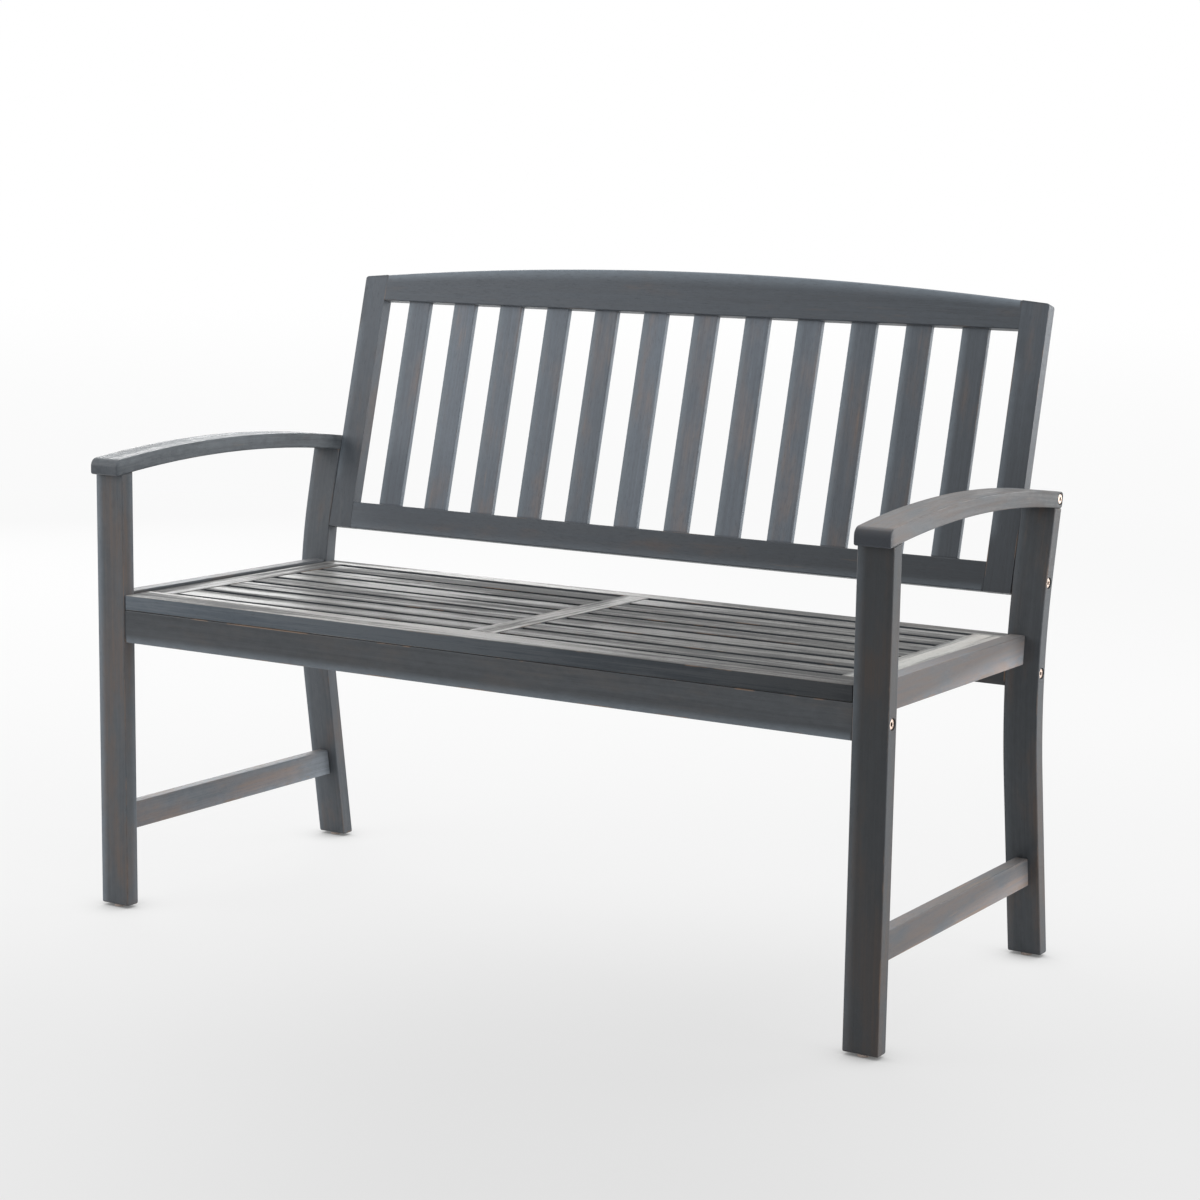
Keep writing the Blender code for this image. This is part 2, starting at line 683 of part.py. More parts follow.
def add_seat_slats(name, span, front_inner, rear_inner, frame, material, rails):
    """Add one side's row of slats, each with a tongue at both ends, and slot the rails for them."""
    free = rear_inner - front_inner - (SEAT_SLATS_PER_SIDE + 1) * SEAT_SLAT_GAP
    width = free / SEAT_SLATS_PER_SIDE
    low_x, high_x = span
    top = -SEAT_SLAT_DROP
    middle_z = top - SEAT_SLAT_THICKNESS / 2
    half_tongue = SLAT_TENON_THICKNESS / 2
    slots = []
    for number in range(SEAT_SLATS_PER_SIDE):
        front = front_inner + SEAT_SLAT_GAP + number * (width + SEAT_SLAT_GAP)
        slat = add_board(f"seat_slat_{name}_{number + 1}", (low_x, front, top - SEAT_SLAT_THICKNESS),
                         (high_x, front + width, top), frame, material)
        low = Vector((low_x - SLAT_TENON_LENGTH, front + TENON_SHOULDER, middle_z - half_tongue))
        high = Vector((high_x + SLAT_TENON_LENGTH, front + width - TENON_SHOULDER,
                       middle_z + half_tongue))
        tongue = add_object(f"tongue_{slat.name}", box_bmesh([(low, high)]), frame, (0, 0, 0))
        use_tool(slat, tongue, "UNION")
        play = Vector((FIT, FIT, FIT))
        slots.append((low - play, high + play))
    slot_tool = add_object(f"slots_{name}", box_bmesh(slots), frame, (0, 0, 0))
    for rail in rails:
        use_tool(rail, slot_tool, "DIFFERENCE")


# Back frame

def build_back(datum, wood):
    """Build the leaning back: stiles, crest rail, bottom rail and slats. Return its frame and stiles."""
    base = back_base()
    frame = add_frame("back_frame", (0.0, *base), -BACK_LEAN, datum)
    material = wood["back"]
    crest = add_back_board("back_crest_rail", crest_outline(), 0, frame, material)
    half = STILE_INNER - FIT
    bottom = add_board("back_bottom_rail", (-half, 0.0, 0.0),
                       (half, BACK_THICKNESS, BOTTOM_RAIL_WIDTH), frame, material)
    stiles = {}
    middle_y = BACK_THICKNESS / 2
    crest_end = crest_top(half) - CREST_UNDERSIDE_RISE
    for side, name in SIDE_NAMES.items():
        stile = add_back_board(f"back_stile_{name}", stile_outline(side), 2, frame, material)
        bottom_section = (FRAME_TENON_THICKNESS, BOTTOM_RAIL_WIDTH - 2 * TENON_SHOULDER)
        add_joint(bottom, stile, (side * half, middle_y, BOTTOM_RAIL_WIDTH / 2),
                  (side, 0, 0), FRAME_TENON_LENGTH, bottom_section)
        crest_section = (FRAME_TENON_THICKNESS, crest_end - 3 * TENON_SHOULDER)
        crest_middle = CREST_UNDERSIDE_RISE + TENON_SHOULDER + crest_section[1] / 2
        add_joint(crest, stile, (side * half, middle_y, crest_middle), (side, 0, 0),
                  FRAME_TENON_LENGTH, crest_section)
        stiles[side] = stile
    add_back_slats(frame, material, (crest, bottom))
    return frame, stiles


def add_back_slats(frame, material, rails):
    """Add the back's slats, housed in the bottom rail and the crest rail."""
    gap = (2 * STILE_INNER - BACK_SLAT_COUNT * BACK_SLAT_WIDTH) / (BACK_SLAT_COUNT + 1)
    front = (BACK_THICKNESS - BACK_SLAT_THICKNESS) / 2
    housings = []
    for number in range(BACK_SLAT_COUNT):
        left = -STILE_INNER + gap + number * (BACK_SLAT_WIDTH + gap)
        low = Vector((left, front, BOTTOM_RAIL_WIDTH - BACK_SLAT_HOUSING))
        high = Vector((left + BACK_SLAT_WIDTH, front + BACK_SLAT_THICKNESS,
                       CREST_UNDERSIDE_RISE + BACK_SLAT_HOUSING))
        add_board(f"back_slat_{number + 1:02d}", low, high, frame, material)
        play = Vector((FIT, FIT, FIT))
        housings.append((low - play, high + play))
    housing_tool = add_object("back_slat_housings", box_bmesh(housings), frame, (0, 0, 0))
    for rail in rails:
        use_tool(rail, housing_tool, "DIFFERENCE")


# Fasteners

def add_bolt(name, frame, place, side, nut_distance, nut_breakout, recess, pieces, material):
    """Add a bolt with its barrel nut, and drill the pieces that it holds together.

    place is the head's place (y, z) on the frame, nut_distance the nut's distance from the bench's
    outer face, and nut_breakout how far its hole runs back. The nut lies in the last of the pieces.
    """
    nut_z = nut_distance - recess
    tip = nut_z + BOLT_TIP_LENGTH
    bm = turned_bmesh([
        (0.0, 0.0),
        (BOLT_HEAD_RADIUS - BOLT_HEAD_EASE, 0.0),
        (BOLT_HEAD_RADIUS, BOLT_HEAD_EASE),
        (BOLT_HEAD_RADIUS, BOLT_HEAD_THICKNESS),
        (BOLT_RADIUS, BOLT_HEAD_THICKNESS),
        (BOLT_RADIUS, tip),
        (0.0, tip),
    ])
    head_x = side * (OUTER_FACE - recess)
    bolt = add_object(name, bm, frame, (head_x, *place), material)
    bolt.rotation_euler = (0.0, -side * math.pi / 2, 0.0)
    shade_round(bolt)
    socket = bmesh.new()
    bmesh.ops.create_cone(socket, cap_ends=True, segments=6,
                          radius1=SOCKET_ACROSS_FLATS / math.sqrt(3),
                          radius2=SOCKET_ACROSS_FLATS / math.sqrt(3), depth=2 * SOCKET_DEPTH)
    use_tool(bolt, add_object(f"socket_{name}", socket, bolt, (0, 0, 0)), "DIFFERENCE")
    nut = nut_bmesh(NUT_RADIUS, -NUT_LENGTH / 2, NUT_LENGTH / 2)
    use_tool(bolt, add_object(f"nut_{name}", nut, bolt, (0, 0, nut_z)), "UNION")
    floor = BOLT_HEAD_THICKNESS + FIT
    drill = turned_bmesh([
        (0.0, -recess - TENON_ROOT),
        (BOLT_HEAD_RADIUS + COUNTERBORE_PLAY, -recess - TENON_ROOT),
        (BOLT_HEAD_RADIUS + COUNTERBORE_PLAY, floor),
        (BOLT_RADIUS + FIT, floor),
        (BOLT_RADIUS + FIT, tip + FIT),
        (0.0, tip + FIT),
    ])
    drill_tool = add_object(f"drill_{name}", drill, bolt, (0, 0, 0))
    for piece in pieces:
        use_tool(piece, drill_tool, "DIFFERENCE")
    nut_hole = nut_bmesh(NUT_RADIUS + FIT, -NUT_LENGTH / 2 - FIT, nut_breakout)
    nut_tool = add_object(f"nut_hole_{name}", nut_hole, bolt, (0, 0, nut_z))
    use_tool(pieces[-1], nut_tool, "DIFFERENCE")


def nut_bmesh(radius, low_y, high_y):
    """Return a bmesh of a plain round bar along Y between two depths."""
    bm = bmesh.new()
    place = Matrix.Translation((0.0, (low_y + high_y) / 2, 0.0)) @ Matrix.Rotation(math.pi / 2, 4, "X")
    bmesh.ops.create_cone(bm, cap_ends=True, segments=ROUND_SEGMENTS, radius1=radius, radius2=radius,
                          depth=high_y - low_y, matrix=place)
    return bm


def build_bolts(datum, back, sides, aprons, stiles, material):
    """Bolt the aprons and the back to both leg frames."""
    apron_nut = LEG_WIDTH + APRON_NUT_DISTANCE
    stile_nut = OUTER_FACE - (BACK_HALF_WIDTH - STILE_WIDTH / 2)
    apron_breakout = APRON_THICKNESS
    stile_breakout = BACK_THICKNESS
    back_middle = BACK_THICKNESS / 2
    for side, name in SIDE_NAMES.items():
        pieces = sides[side]
        for end in ("front", "rear"):
            apron, y, z = aprons[end]
            add_bolt(f"{end}_apron_bolt_{name}", datum, (y, z), side, apron_nut, apron_breakout,
                     BOLT_RECESS, (pieces[f"{end}_leg"], apron), material)
        add_bolt(f"back_bolt_{name}", back, (back_middle, BOTTOM_RAIL_WIDTH / 2), side, stile_nut,
                 stile_breakout, BOLT_RECESS, (pieces["rear_leg"], stiles[side]), material)
        add_bolt(f"arm_bolt_{name}", back, (back_middle, arm_bolt_rise()), side, stile_nut,
                 stile_breakout, ARM_BOLT_RECESS, (pieces["armrest"], stiles[side]), material)


def build_glides(datum, sides, material):
    """Seat a glide with a pin under each leg."""
    pin_top = GLIDE_HEIGHT + GLIDE_PIN_LENGTH
    places = {"front": FRONT_LEG_DEPTH / 2, "rear": rear_leg_middle(0.0)}
    for side, name in SIDE_NAMES.items():
        for end, y in places.items():
            bm = turned_bmesh([
                (0.0, 0.0),
                (GLIDE_RADIUS - GLIDE_EASE, 0.0),
                (GLIDE_RADIUS, GLIDE_EASE),
                (GLIDE_RADIUS, GLIDE_HEIGHT - FIT),
                (GLIDE_PIN_RADIUS, GLIDE_HEIGHT - FIT),
                (GLIDE_PIN_RADIUS, pin_top),
                (0.0, pin_top),
            ])
            glide = add_object(f"{end}_glide_{name}", bm, datum, (side * LEG_MIDDLE, y, -GLIDE_HEIGHT),
                               material)
            shade_round(glide)
            hole = turned_bmesh([
                (0.0, 0.0),
                (GLIDE_PIN_RADIUS + FIT, 0.0),
                (GLIDE_PIN_RADIUS + FIT, pin_top + FIT),
                (0.0, pin_top + FIT),
            ])
            use_tool(sides[side][f"{end}_leg"], add_object(f"hole_{glide.name}", hole, glide, (0, 0, 0)),
                     "DIFFERENCE")


def main():
    """Build the bench."""
    clear_scene()
    wood = {
        "leg": make_material("leg_wood", LEG_FINISH),
        "arm": make_material("arm_wood", ARM_FINISH),
        "seat": make_material("seat_wood", SEAT_FINISH),
        "back": make_material("back_wood", BACK_FINISH),
        "apron": make_material("apron_wood", APRON_FINISH),
    }
    bolt_metal = make_material("bolt_bronze", BOLT_FINISH)
    glide_plastic = make_material("glide_plastic", GLIDE_FINISH)
    datum = add_frame("bench_datum", (0.0, -footprint_middle(), GLIDE_HEIGHT))
    sides = {side: build_side(side, datum, wood) for side in SIDE_NAMES}
    aprons = build_aprons(datum, wood, sides)
    build_seat(datum, wood)
    back, stiles = build_back(datum, wood)
    build_bolts(datum, back, sides, aprons, stiles, bolt_metal)
    build_glides(datum, sides, glide_plastic)


main()
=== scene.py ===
"""Studio scene of a grey-stained garden bench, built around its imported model.

Every board, bolt and glide of the model is replaced by a finished piece with rounded arrises, bored bolt
holes and a stained, grained and worn finish. Lengths are in metres. +X is to the right of someone facing
the bench, +Y runs towards its back and +Z is up. Sizes are measured from a datum where the front faces of
the front legs, the middle of the bench and the undersides of its legs meet.
"""

import logging
import math
from dataclasses import dataclass, field
from enum import Enum
from typing import Callable, Iterable, Optional, Sequence, Union

import bmesh
import bpy
from mathutils import Matrix, Vector

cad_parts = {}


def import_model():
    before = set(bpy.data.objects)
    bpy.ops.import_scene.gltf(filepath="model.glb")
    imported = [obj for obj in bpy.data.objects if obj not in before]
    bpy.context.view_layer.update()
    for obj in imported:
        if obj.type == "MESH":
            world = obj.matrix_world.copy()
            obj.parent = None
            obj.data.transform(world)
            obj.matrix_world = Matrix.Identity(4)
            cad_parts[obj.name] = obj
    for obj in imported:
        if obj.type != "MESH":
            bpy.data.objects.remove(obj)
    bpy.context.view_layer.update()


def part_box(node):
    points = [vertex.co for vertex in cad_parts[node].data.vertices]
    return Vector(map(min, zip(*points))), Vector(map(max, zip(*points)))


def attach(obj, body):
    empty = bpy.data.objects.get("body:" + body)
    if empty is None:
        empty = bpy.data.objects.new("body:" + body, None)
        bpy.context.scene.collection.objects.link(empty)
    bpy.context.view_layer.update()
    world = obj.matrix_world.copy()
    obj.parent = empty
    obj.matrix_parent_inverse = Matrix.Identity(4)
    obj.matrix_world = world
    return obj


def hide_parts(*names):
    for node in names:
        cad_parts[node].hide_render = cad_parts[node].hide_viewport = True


LOG = logging.getLogger("bench")
BODY = "root"

Colour = tuple[float, float, float]
Point = tuple[float, float, float]
Span = tuple[float, float]
BMesh = bmesh.types.BMesh
Object = bpy.types.Object
Material = bpy.types.Material
Socket = bpy.types.NodeSocket
Value = Union[float, tuple, Vector, Socket]

WHITE = (1.0, 1.0, 1.0, 1.0)

# The play between pieces that fit together, and how near two points count as one, in metres
FIT = 0.0003
WELD = 0.000001

# The least angles between faces for a sharp edge in the shading, and for an edge to be rounded
SHARP_ANGLE = math.radians(35)
CORNER_ANGLE = math.radians(30)

# How far a face's normal reaches along an axis that it faces: squarely, nearly, at a board's end, on an
# arch, and the most that it reaches along an axis it runs along
SQUARE = 0.99
FACING = 0.9
ENDWISE = 0.8
UPWARD = 0.6
ASIDE = 0.5

# How far the two inner points of a rounded rim lie from its faces, as shares of its radius
ROUND_SHARES = (0.13, 0.5)

# Steps between one board's seed, tone and warmth and the next's
BOARD_STEPS = (0.618034, 0.754878, 0.569840)

# Sockets of a colour mix by number, since their names repeat: factor and two colours, and the result
COLOUR_MIX_INPUTS = (0, 6, 7)
COLOUR_MIX_OUTPUT = 2


class Side(Enum):
    """The bench's two ends, as someone facing it sees them."""

    LEFT = -1
    RIGHT = 1

    @property
    def label(self) -> str:
        """Return the word that ends the names of this side's pieces."""
        return self.name.lower()


class Slot(Enum):
    """The record's material slots."""

    LEG = "leg_wood"
    ARM = "arm_wood"
    SEAT = "seat_wood"
    BACK = "back_wood"
    APRON = "apron_wood"
    BOLT = "bolt_bronze"
    GLIDE = "glide_plastic"


# Finishes

@dataclass(frozen=True)
class Dress:
    """How one board's stain, and the light and shade painted on it, differ from the usual.

    The two tone-and-light factors are how many times paler it is at its low and its high end: partly the
    board's own tone, partly painted light and shade that grows or fades along it. The side factor is how many
    times paler or darker its narrow sides are than that, painted light or shade on the faces that turn that
    way. The edge glow is a painted pale blue glow of light along one long edge of its face, below zero for
    the low edge. It stops short of the ends by the margin, and the rear glow lies along the far edge of its
    narrow sides. The end shade is how dark its ends are, and it reaches that far in: dark end grain and
    joints, and at the back slats' ends painted shadow where they meet the rails.
    """

    low_lift: float = 1.0
    high_lift: float = 1.0
    side_lift: float = 1.0
    warmth: Optional[float] = None
    mist: float = 0.0
    margin: float = 0.002
    rear_mist: float = 0.0
    end_shade: float = 0.3
    end_reach: float = 0.0008


# A board takes the first entry that its name starts with
# Each board's tone-and-light factors hold its own tone and painted light and shade: paler where light falls,
# darker where shade falls
DRESSES = {
    # The back slats' dark ends are painted shadow where they meet the crest and bottom rails
    "back_slat_12": Dress(1.2, 1.6, warmth=-0.3, mist=-0.8, rear_mist=0.8, end_shade=0.7, end_reach=0.0045),
    "back_slat_11": Dress(1.5, 1.8, warmth=0.0, mist=-0.9, rear_mist=0.9, end_shade=0.7, end_reach=0.0045),
    "back_slat_10": Dress(1.85, 1.85, mist=-1.0, rear_mist=1.0, end_shade=0.7, end_reach=0.0045),
    "back_slat": Dress(2.85, 2.85, mist=-1.0, rear_mist=1.0, end_shade=0.7, end_reach=0.0045),
    "back_stile_left": Dress(1.25, 1.9, warmth=0.0, mist=-0.6, margin=0.062),
    "back_stile_right": Dress(0.85, 1.75, warmth=-0.4, mist=-0.5, margin=0.062),
    "back_crest": Dress(1.55, 1.15, warmth=-0.5, mist=1.0),
    "back_bottom_rail": Dress(2.0, 0.8, warmth=-0.5, mist=-0.4),
    "armrest_left": Dress(1.95, 1.95, warmth=-1.0, end_shade=0.6, end_reach=0.012),
    "armrest_right": Dress(2.6, 0.88, side_lift=0.68, warmth=1.6, end_shade=0.95, end_reach=0.016),
    "side_stretcher_left": Dress(2.3, 2.6, side_lift=1.5, warmth=0.9),
    "side_stretcher_right": Dress(1.45, 1.45, side_lift=2.6, warmth=1.6),
    "side_apron_left": Dress(1.4, 1.4, side_lift=2.2),
    "side_apron_right": Dress(1.45, 1.25, side_lift=3.3, warmth=1.6),
    "rear_leg_left": Dress(1.65, 1.65, mist=-0.5),
    "rear_leg_right": Dress(1.05, 1.05, warmth=0.5, mist=-0.2),
    "front_leg_left": Dress(1.25, 1.25, warmth=1.4, mist=-0.8, rear_mist=0.4),
    "front_leg_right": Dress(0.60, 0.50, side_lift=1.5, warmth=0.9, mist=-0.3),
    "front_apron": Dress(0.93, 1.02, mist=-0.6),
    "seat_slat_left": Dress(1.35, 0.5, warmth=-0.4),
    "seat_slat": Dress(0.62, 1.05, warmth=-0.1),
    "seat_centre": Dress(1.55, 1.55),
    "seat_end_rail_right": Dress(3.8, 3.8, side_lift=0.42, warmth=1.0),
    "seat_front": Dress(2.15, 0.36, side_lift=1.2, warmth=0.7),
    "seat_rear": Dress(1.2, 1.2),
}


@dataclass(frozen=True)
class Pattern:
    """Noise: its features in a metre along each axis, its finer layers, their strength, and its bend."""

    stretch: Point
    detail: float = 3.0
    roughness: float = 0.5
    distortion: float = 0.0


class Nodes:
    """A node tree under way, with short calls that add and wire its nodes."""

    def __init__(self, tree: bpy.types.NodeTree) -> None:
        """Take up a tree."""
        self.tree = tree

    def feed(self, socket: Socket, value: Value) -> None:
        """Link an input to another node's output, or set it to a constant.

        Args:
            socket: The input.
            value: An output socket, or the constant.
        """
        if isinstance(value, Socket):
            self.tree.links.new(value, socket)
        else:
            socket.default_value = value

    def add(self, kind: str, inputs: dict[str, Value], **settings: object) -> bpy.types.Node:
        """Add a node.

        Args:
            kind: The node's type.
            inputs: What its named inputs take.
            settings: The node's own options.

        Returns:
            The node.
        """
        node = self.tree.nodes.new(kind)
        for key, value in settings.items():
            setattr(node, key, value)
        for key, value in inputs.items():
            self.feed(node.inputs[key], value)
        return node

    def combine(self, kind: str, values: Iterable[Value], **settings: object) -> bpy.types.Node:
        """Add a node whose inputs take values in their order.

        Args:
            kind: The node's type.
            values: What its first inputs take.
            settings: The node's own options.

        Returns:
            The node.
        """
        node = self.add(kind, {}, **settings)
        for socket, value in zip(node.inputs, values):
            self.feed(socket, value)
        return node

    def attribute(self, name: str) -> Socket:
        """Return a mesh attribute as a vector."""
        return self.add("ShaderNodeAttribute", {}, attribute_name=name).outputs["Vector"]

    def object_place(self) -> Socket:
        """Return the point's place in the object."""
        return self.add("ShaderNodeTexCoord", {}).outputs["Object"]

    def math(self, operation: str, *values: Value) -> Socket:
        """Return the result of a Math node on one to three values."""
        return self.combine("ShaderNodeMath", values, operation=operation).outputs[0]

    def times(self, first: Value, second: Value) -> Socket:
        """Return the product of two values."""
        return self.math("MULTIPLY", first, second)

    def line(self, value: Value, slope: Value, base: Value) -> Socket:
        """Return a value times a slope, plus a base."""
        return self.math("MULTIPLY_ADD", value, slope, base)

    def vector(self, operation: str, *values: Value) -> Socket:
        """Return the vector result of a Vector Math node."""
        return self.combine("ShaderNodeVectorMath", values, operation=operation).outputs["Vector"]

    def dot(self, vector: Value, axis: Point) -> Socket:
        """Return how far a vector reaches along an axis."""
        return self.combine("ShaderNodeVectorMath", (vector, axis), operation="DOT_PRODUCT").outputs["Value"]

    def scaled(self, colour: Socket, factor: Value) -> Socket:
        """Return a colour made lighter or darker by a factor."""
        node = self.combine("ShaderNodeVectorMath", (colour,), operation="SCALE")
        self.feed(node.inputs["Scale"], factor)
        return node.outputs["Vector"]

    def split(self, vector: Socket) -> list[Socket]:
        """Return a vector's three parts."""
        return list(self.add("ShaderNodeSeparateXYZ", {"Vector": vector}).outputs)

    def ramp(self, value: Value, start: Value, end: Value, low: Value = 0.0, high: Value = 1.0) -> Socket:
        """Return a smooth step.

        Args:
            value: What is read.
            start: The value that gives low.
            end: The value that gives high; it may lie below start.
            low: The result at start.
            high: The result at end.

        Returns:
            The step's output.
        """
        return self.add("ShaderNodeMapRange", {
            "Value": value,
            "From Min": start,
            "From Max": end,
            "To Min": low,
            "To Max": high,
        }, interpolation_type="SMOOTHSTEP").outputs["Result"]

    def noise(self, vector: Value, pattern: Pattern) -> Socket:
        """Return a pattern's noise, from 0 to 1, at coordinates in metres."""
        return self.add("ShaderNodeTexNoise", {
            "Vector": self.vector("MULTIPLY", vector, pattern.stretch),
            "Scale": 1.0,
            "Detail": pattern.detail,
            "Roughness": pattern.roughness,
            "Distortion": pattern.distortion,
        }).outputs["Fac"]

    def mix(self, share: Value, first: Value, second: Value) -> Socket:
        """Return a mix of two colours; share 0 gives the first."""
        node = self.add("ShaderNodeMix", {}, data_type="RGBA")
        for index, value in zip(COLOUR_MIX_INPUTS, (share, first, second)):
            self.feed(node.inputs[index], (*value, 1.0) if isinstance(value, tuple) else value)
        return node.outputs[COLOUR_MIX_OUTPUT]

    def layered(self, colour: Socket, *layers: tuple[Value, Colour]) -> Socket:
        """Return a colour with others laid over it in turn, each by its share."""
        for share, layer in layers:
            colour = self.mix(share, colour, layer)
        return colour

    def show(self, output: str, share: Value, first: bpy.types.Node, second: bpy.types.Node) -> None:
        """Wire a mix of two shaders to the tree's output; share 0 gives the first."""
        mix = self.combine("ShaderNodeMixShader", (share, first.outputs[0], second.outputs[0]))
        self.feed(self.tree.nodes[output].inputs["Surface"], mix.outputs[0])


class Recipe(Nodes):
    """A material under way, round a Principled shader."""

    def __init__(self, name: str) -> None:
        """Start a material.

        Args:
            name: The material's name.
        """
        self.material = bpy.data.materials.new(name)
        self.material.use_nodes = True
        super().__init__(self.material.node_tree)
        self.shader = self.tree.nodes["Principled BSDF"]

    def paint(self, colour: Value, roughness: Value, **constants: float) -> None:
        """Dress the shader.

        Args:
            colour: Its base colour.
            roughness: Its roughness.
            constants: Values for its other sockets, named with underscores for spaces.
        """
        self.feed(self.shader.inputs["Base Color"], colour)
        self.feed(self.shader.inputs["Roughness"], roughness)
        for key, value in constants.items():
            self.shader.inputs[key.replace("_", " ")].default_value = value

    def bump(self, height: Value, strength: float, distance: float) -> None:
        """Wire a height to the shader's normal.

        Args:
            height: The height, from 0 to 1.
            strength: The bump's share.
            distance: The depth of the relief, in metres.
        """
        node = self.add("ShaderNodeBump", {"Height": height, "Strength": strength, "Distance": distance})
        self.feed(self.shader.inputs["Normal"], node.outputs["Normal"])


# The wood's patterns, whose features are counted along, across and through a board
BROAD = Pattern((2.2, 34.0, 34.0), roughness=0.55)
BAND = Pattern((4.2, 190.0, 190.0), 4.0, 0.62, 0.25)
FIBRE = Pattern((18.0, 760.0, 760.0), roughness=0.6)
CLOUD = Pattern((8.0, 24.0, 24.0), 4.0, 0.6)
MOTTLE = Pattern((70.0, 110.0, 110.0), roughness=0.55)
PORE = Pattern((95.0, 2100.0, 2100.0), 2.0)
RUDDY_STREAK = Pattern((11.0, 150.0, 150.0), roughness=0.6)
RUDDY_PLACE = Pattern((3.5, 12.0, 12.0), 2.0)
WEAR_PLACE = Pattern((12.0, 22.0, 22.0), 4.0, 0.65)


@dataclass(frozen=True)
class StainedWood:
    """Hardwood under a thin slate stain, rubbed through in places, with a painted glow of light along some
    edges and painted shade on some narrow sides.

    It reads five attributes of a board: "grain", the point's place along, across and through the board,
    "half", the board's half sizes, "board", three numbers that differ for each board, "dress", how many
    times paler than usual it is from its own tone and painted light and shade, how dark its ends are (end
    grain, joints, or painted shadow at the back slats) and how far in that reaches, and "veil", its
    painted glow of light along an edge, the margin without glow at its ends and the glow on its narrow sides.

    The colours come first, then how strong each layer is, and then where on the noise it starts and ends.
    """

    slot: Slot
    deep: Colour = (0.030, 0.0345, 0.040)
    film: Colour = (0.066, 0.073, 0.081)
    bare: Colour = (0.088, 0.060, 0.045)
    rubbed: Colour = (0.23, 0.150, 0.100)
    ruddy: Colour = (0.15, 0.095, 0.060)
    # Painted light: a pale blue glow laid along edges
    misted: Colour = (0.165, 0.195, 0.225)
    # Painted shade on the narrow sides, such as the faces seen in the seat's gaps and its rails' front faces
    sides: Colour = (0.032, 0.039, 0.047)
    # Dark end grain and joints, and at the back slats' ends painted shadow where they meet the rails
    ends: Colour = (0.012, 0.015, 0.020)
    dark: Colour = (0.012, 0.013, 0.015)
    bareness: float = 0.5
    streaks: float = 1.0
    banding: float = 0.26
    band_share: float = 0.34
    fibre_share: float = 0.20
    cloud_share: float = 0.125
    mottling: float = 0.6
    edge_wear: float = 0.5
    wear_reach: float = 0.0017
    # How far the painted glow of light reaches in from an edge
    mist_reach: float = 0.014
    rubbing: float = 0.4
    # How far the narrow sides take the painted shade
    side_stain: float = 0.0
    pore_depth: float = 0.45
    roughness_low: float = 0.40
    roughness_high: float = 0.60
    sheen: float = 0.10
    sheen_roughness: float = 0.45
    specular: float = 0.36
    relief: float = 0.45
    relief_depth: float = 0.0003
    board_shift: Point = (5.0, 0.9, 1.3)
    tone_line: Span = (0.24, 0.88)
    light_spread: float = 0.15
    bare_patch: Span = (0.50, 0.72)
    bare_streak: Span = (0.40, 0.62)
    bare_between: float = 0.45
    warmth_weight: float = 0.10
    ruddy_streak: Span = (0.60, 0.72)
    ruddy_place: Span = (0.50, 0.64)
    ruddy_inset: Span = (0.003, 0.008)
    side_across: float = 0.0012
    side_through: float = 0.0010
    # How strong the painted glow is over fine noise, and how far past the margin it fades in
    mist_line: Span = (0.6, 0.7)
    mist_fade: float = 1.4
    wear_start: float = 0.56
    wear_fade: float = 0.1
    wear_core: float = 0.4
    pore_span: Span = (0.60, 0.70)
    gloss_fibre: float = 0.35
    gloss_span: Span = (0.2, 1.15)
    relief_share: float = 0.6

    def build(self) -> Material:
        """Return the finish as a material."""
        recipe = Recipe(self.slot.value + "_finish")
        grain = recipe.attribute("grain")
        seed, tone, warmth = recipe.split(recipe.attribute("board"))
        spread = recipe.add("ShaderNodeCombineXYZ", {"X": seed, "Y": warmth, "Z": tone}).outputs["Vector"]
        place = recipe.vector("MULTIPLY_ADD", spread, self.board_shift, grain)
        broad, band, fibre, cloud, mottle = [recipe.noise(place, pattern)
                                             for pattern in (BROAD, BAND, FIBRE, CLOUD, MOTTLE)]
        pores = recipe.ramp(recipe.noise(place, PORE), *self.pore_span)
        light = self._light(recipe, broad, band, fibre, recipe.line(mottle, self.mottling, cloud))
        arris, end, side = self._edges(recipe, grain)
        tone_and_light, end_shade, end_reach = recipe.split(recipe.attribute("dress"))
        colour = recipe.mix(light, self.deep, self.film)
        colour = recipe.scaled(colour, recipe.line(tone, *self.tone_line))
        colour = recipe.layered(
            colour,
            (self._bare(recipe, band, cloud, warmth), self.bare),
            (self._ruddy(recipe, place, arris), self.ruddy),
            # Painted shade on the narrow sides
            (recipe.times(side, self.side_stain), self.sides),
            # Dark ends: end grain and joints, and painted shadow at the back slats' ends
            (recipe.times(recipe.ramp(end, end_reach, 0.0), end_shade), self.ends),
        )
        colour = recipe.layered(
            # Each board's own tone, with painted light and shade along it
            recipe.scaled(colour, tone_and_light),
            # Painted glow of light along the edges
            (self._veil(recipe, grain, end, side, mottle), self.misted),
            (self._worn(recipe, place, arris), self.rubbed),
            (recipe.times(pores, self.pore_depth), self.dark),
        )
        gloss = recipe.ramp(recipe.line(fibre, self.gloss_fibre, light), *self.gloss_span,
                            self.roughness_low, self.roughness_high)
        recipe.paint(colour, gloss, Specular_IOR_Level=self.specular, Sheen_Weight=self.sheen,
                     Sheen_Roughness=self.sheen_roughness)
        height = recipe.line(pores, -self.relief_share, recipe.line(band, self.relief_share, fibre))
        recipe.bump(height, self.relief, self.relief_depth)
        return recipe.material

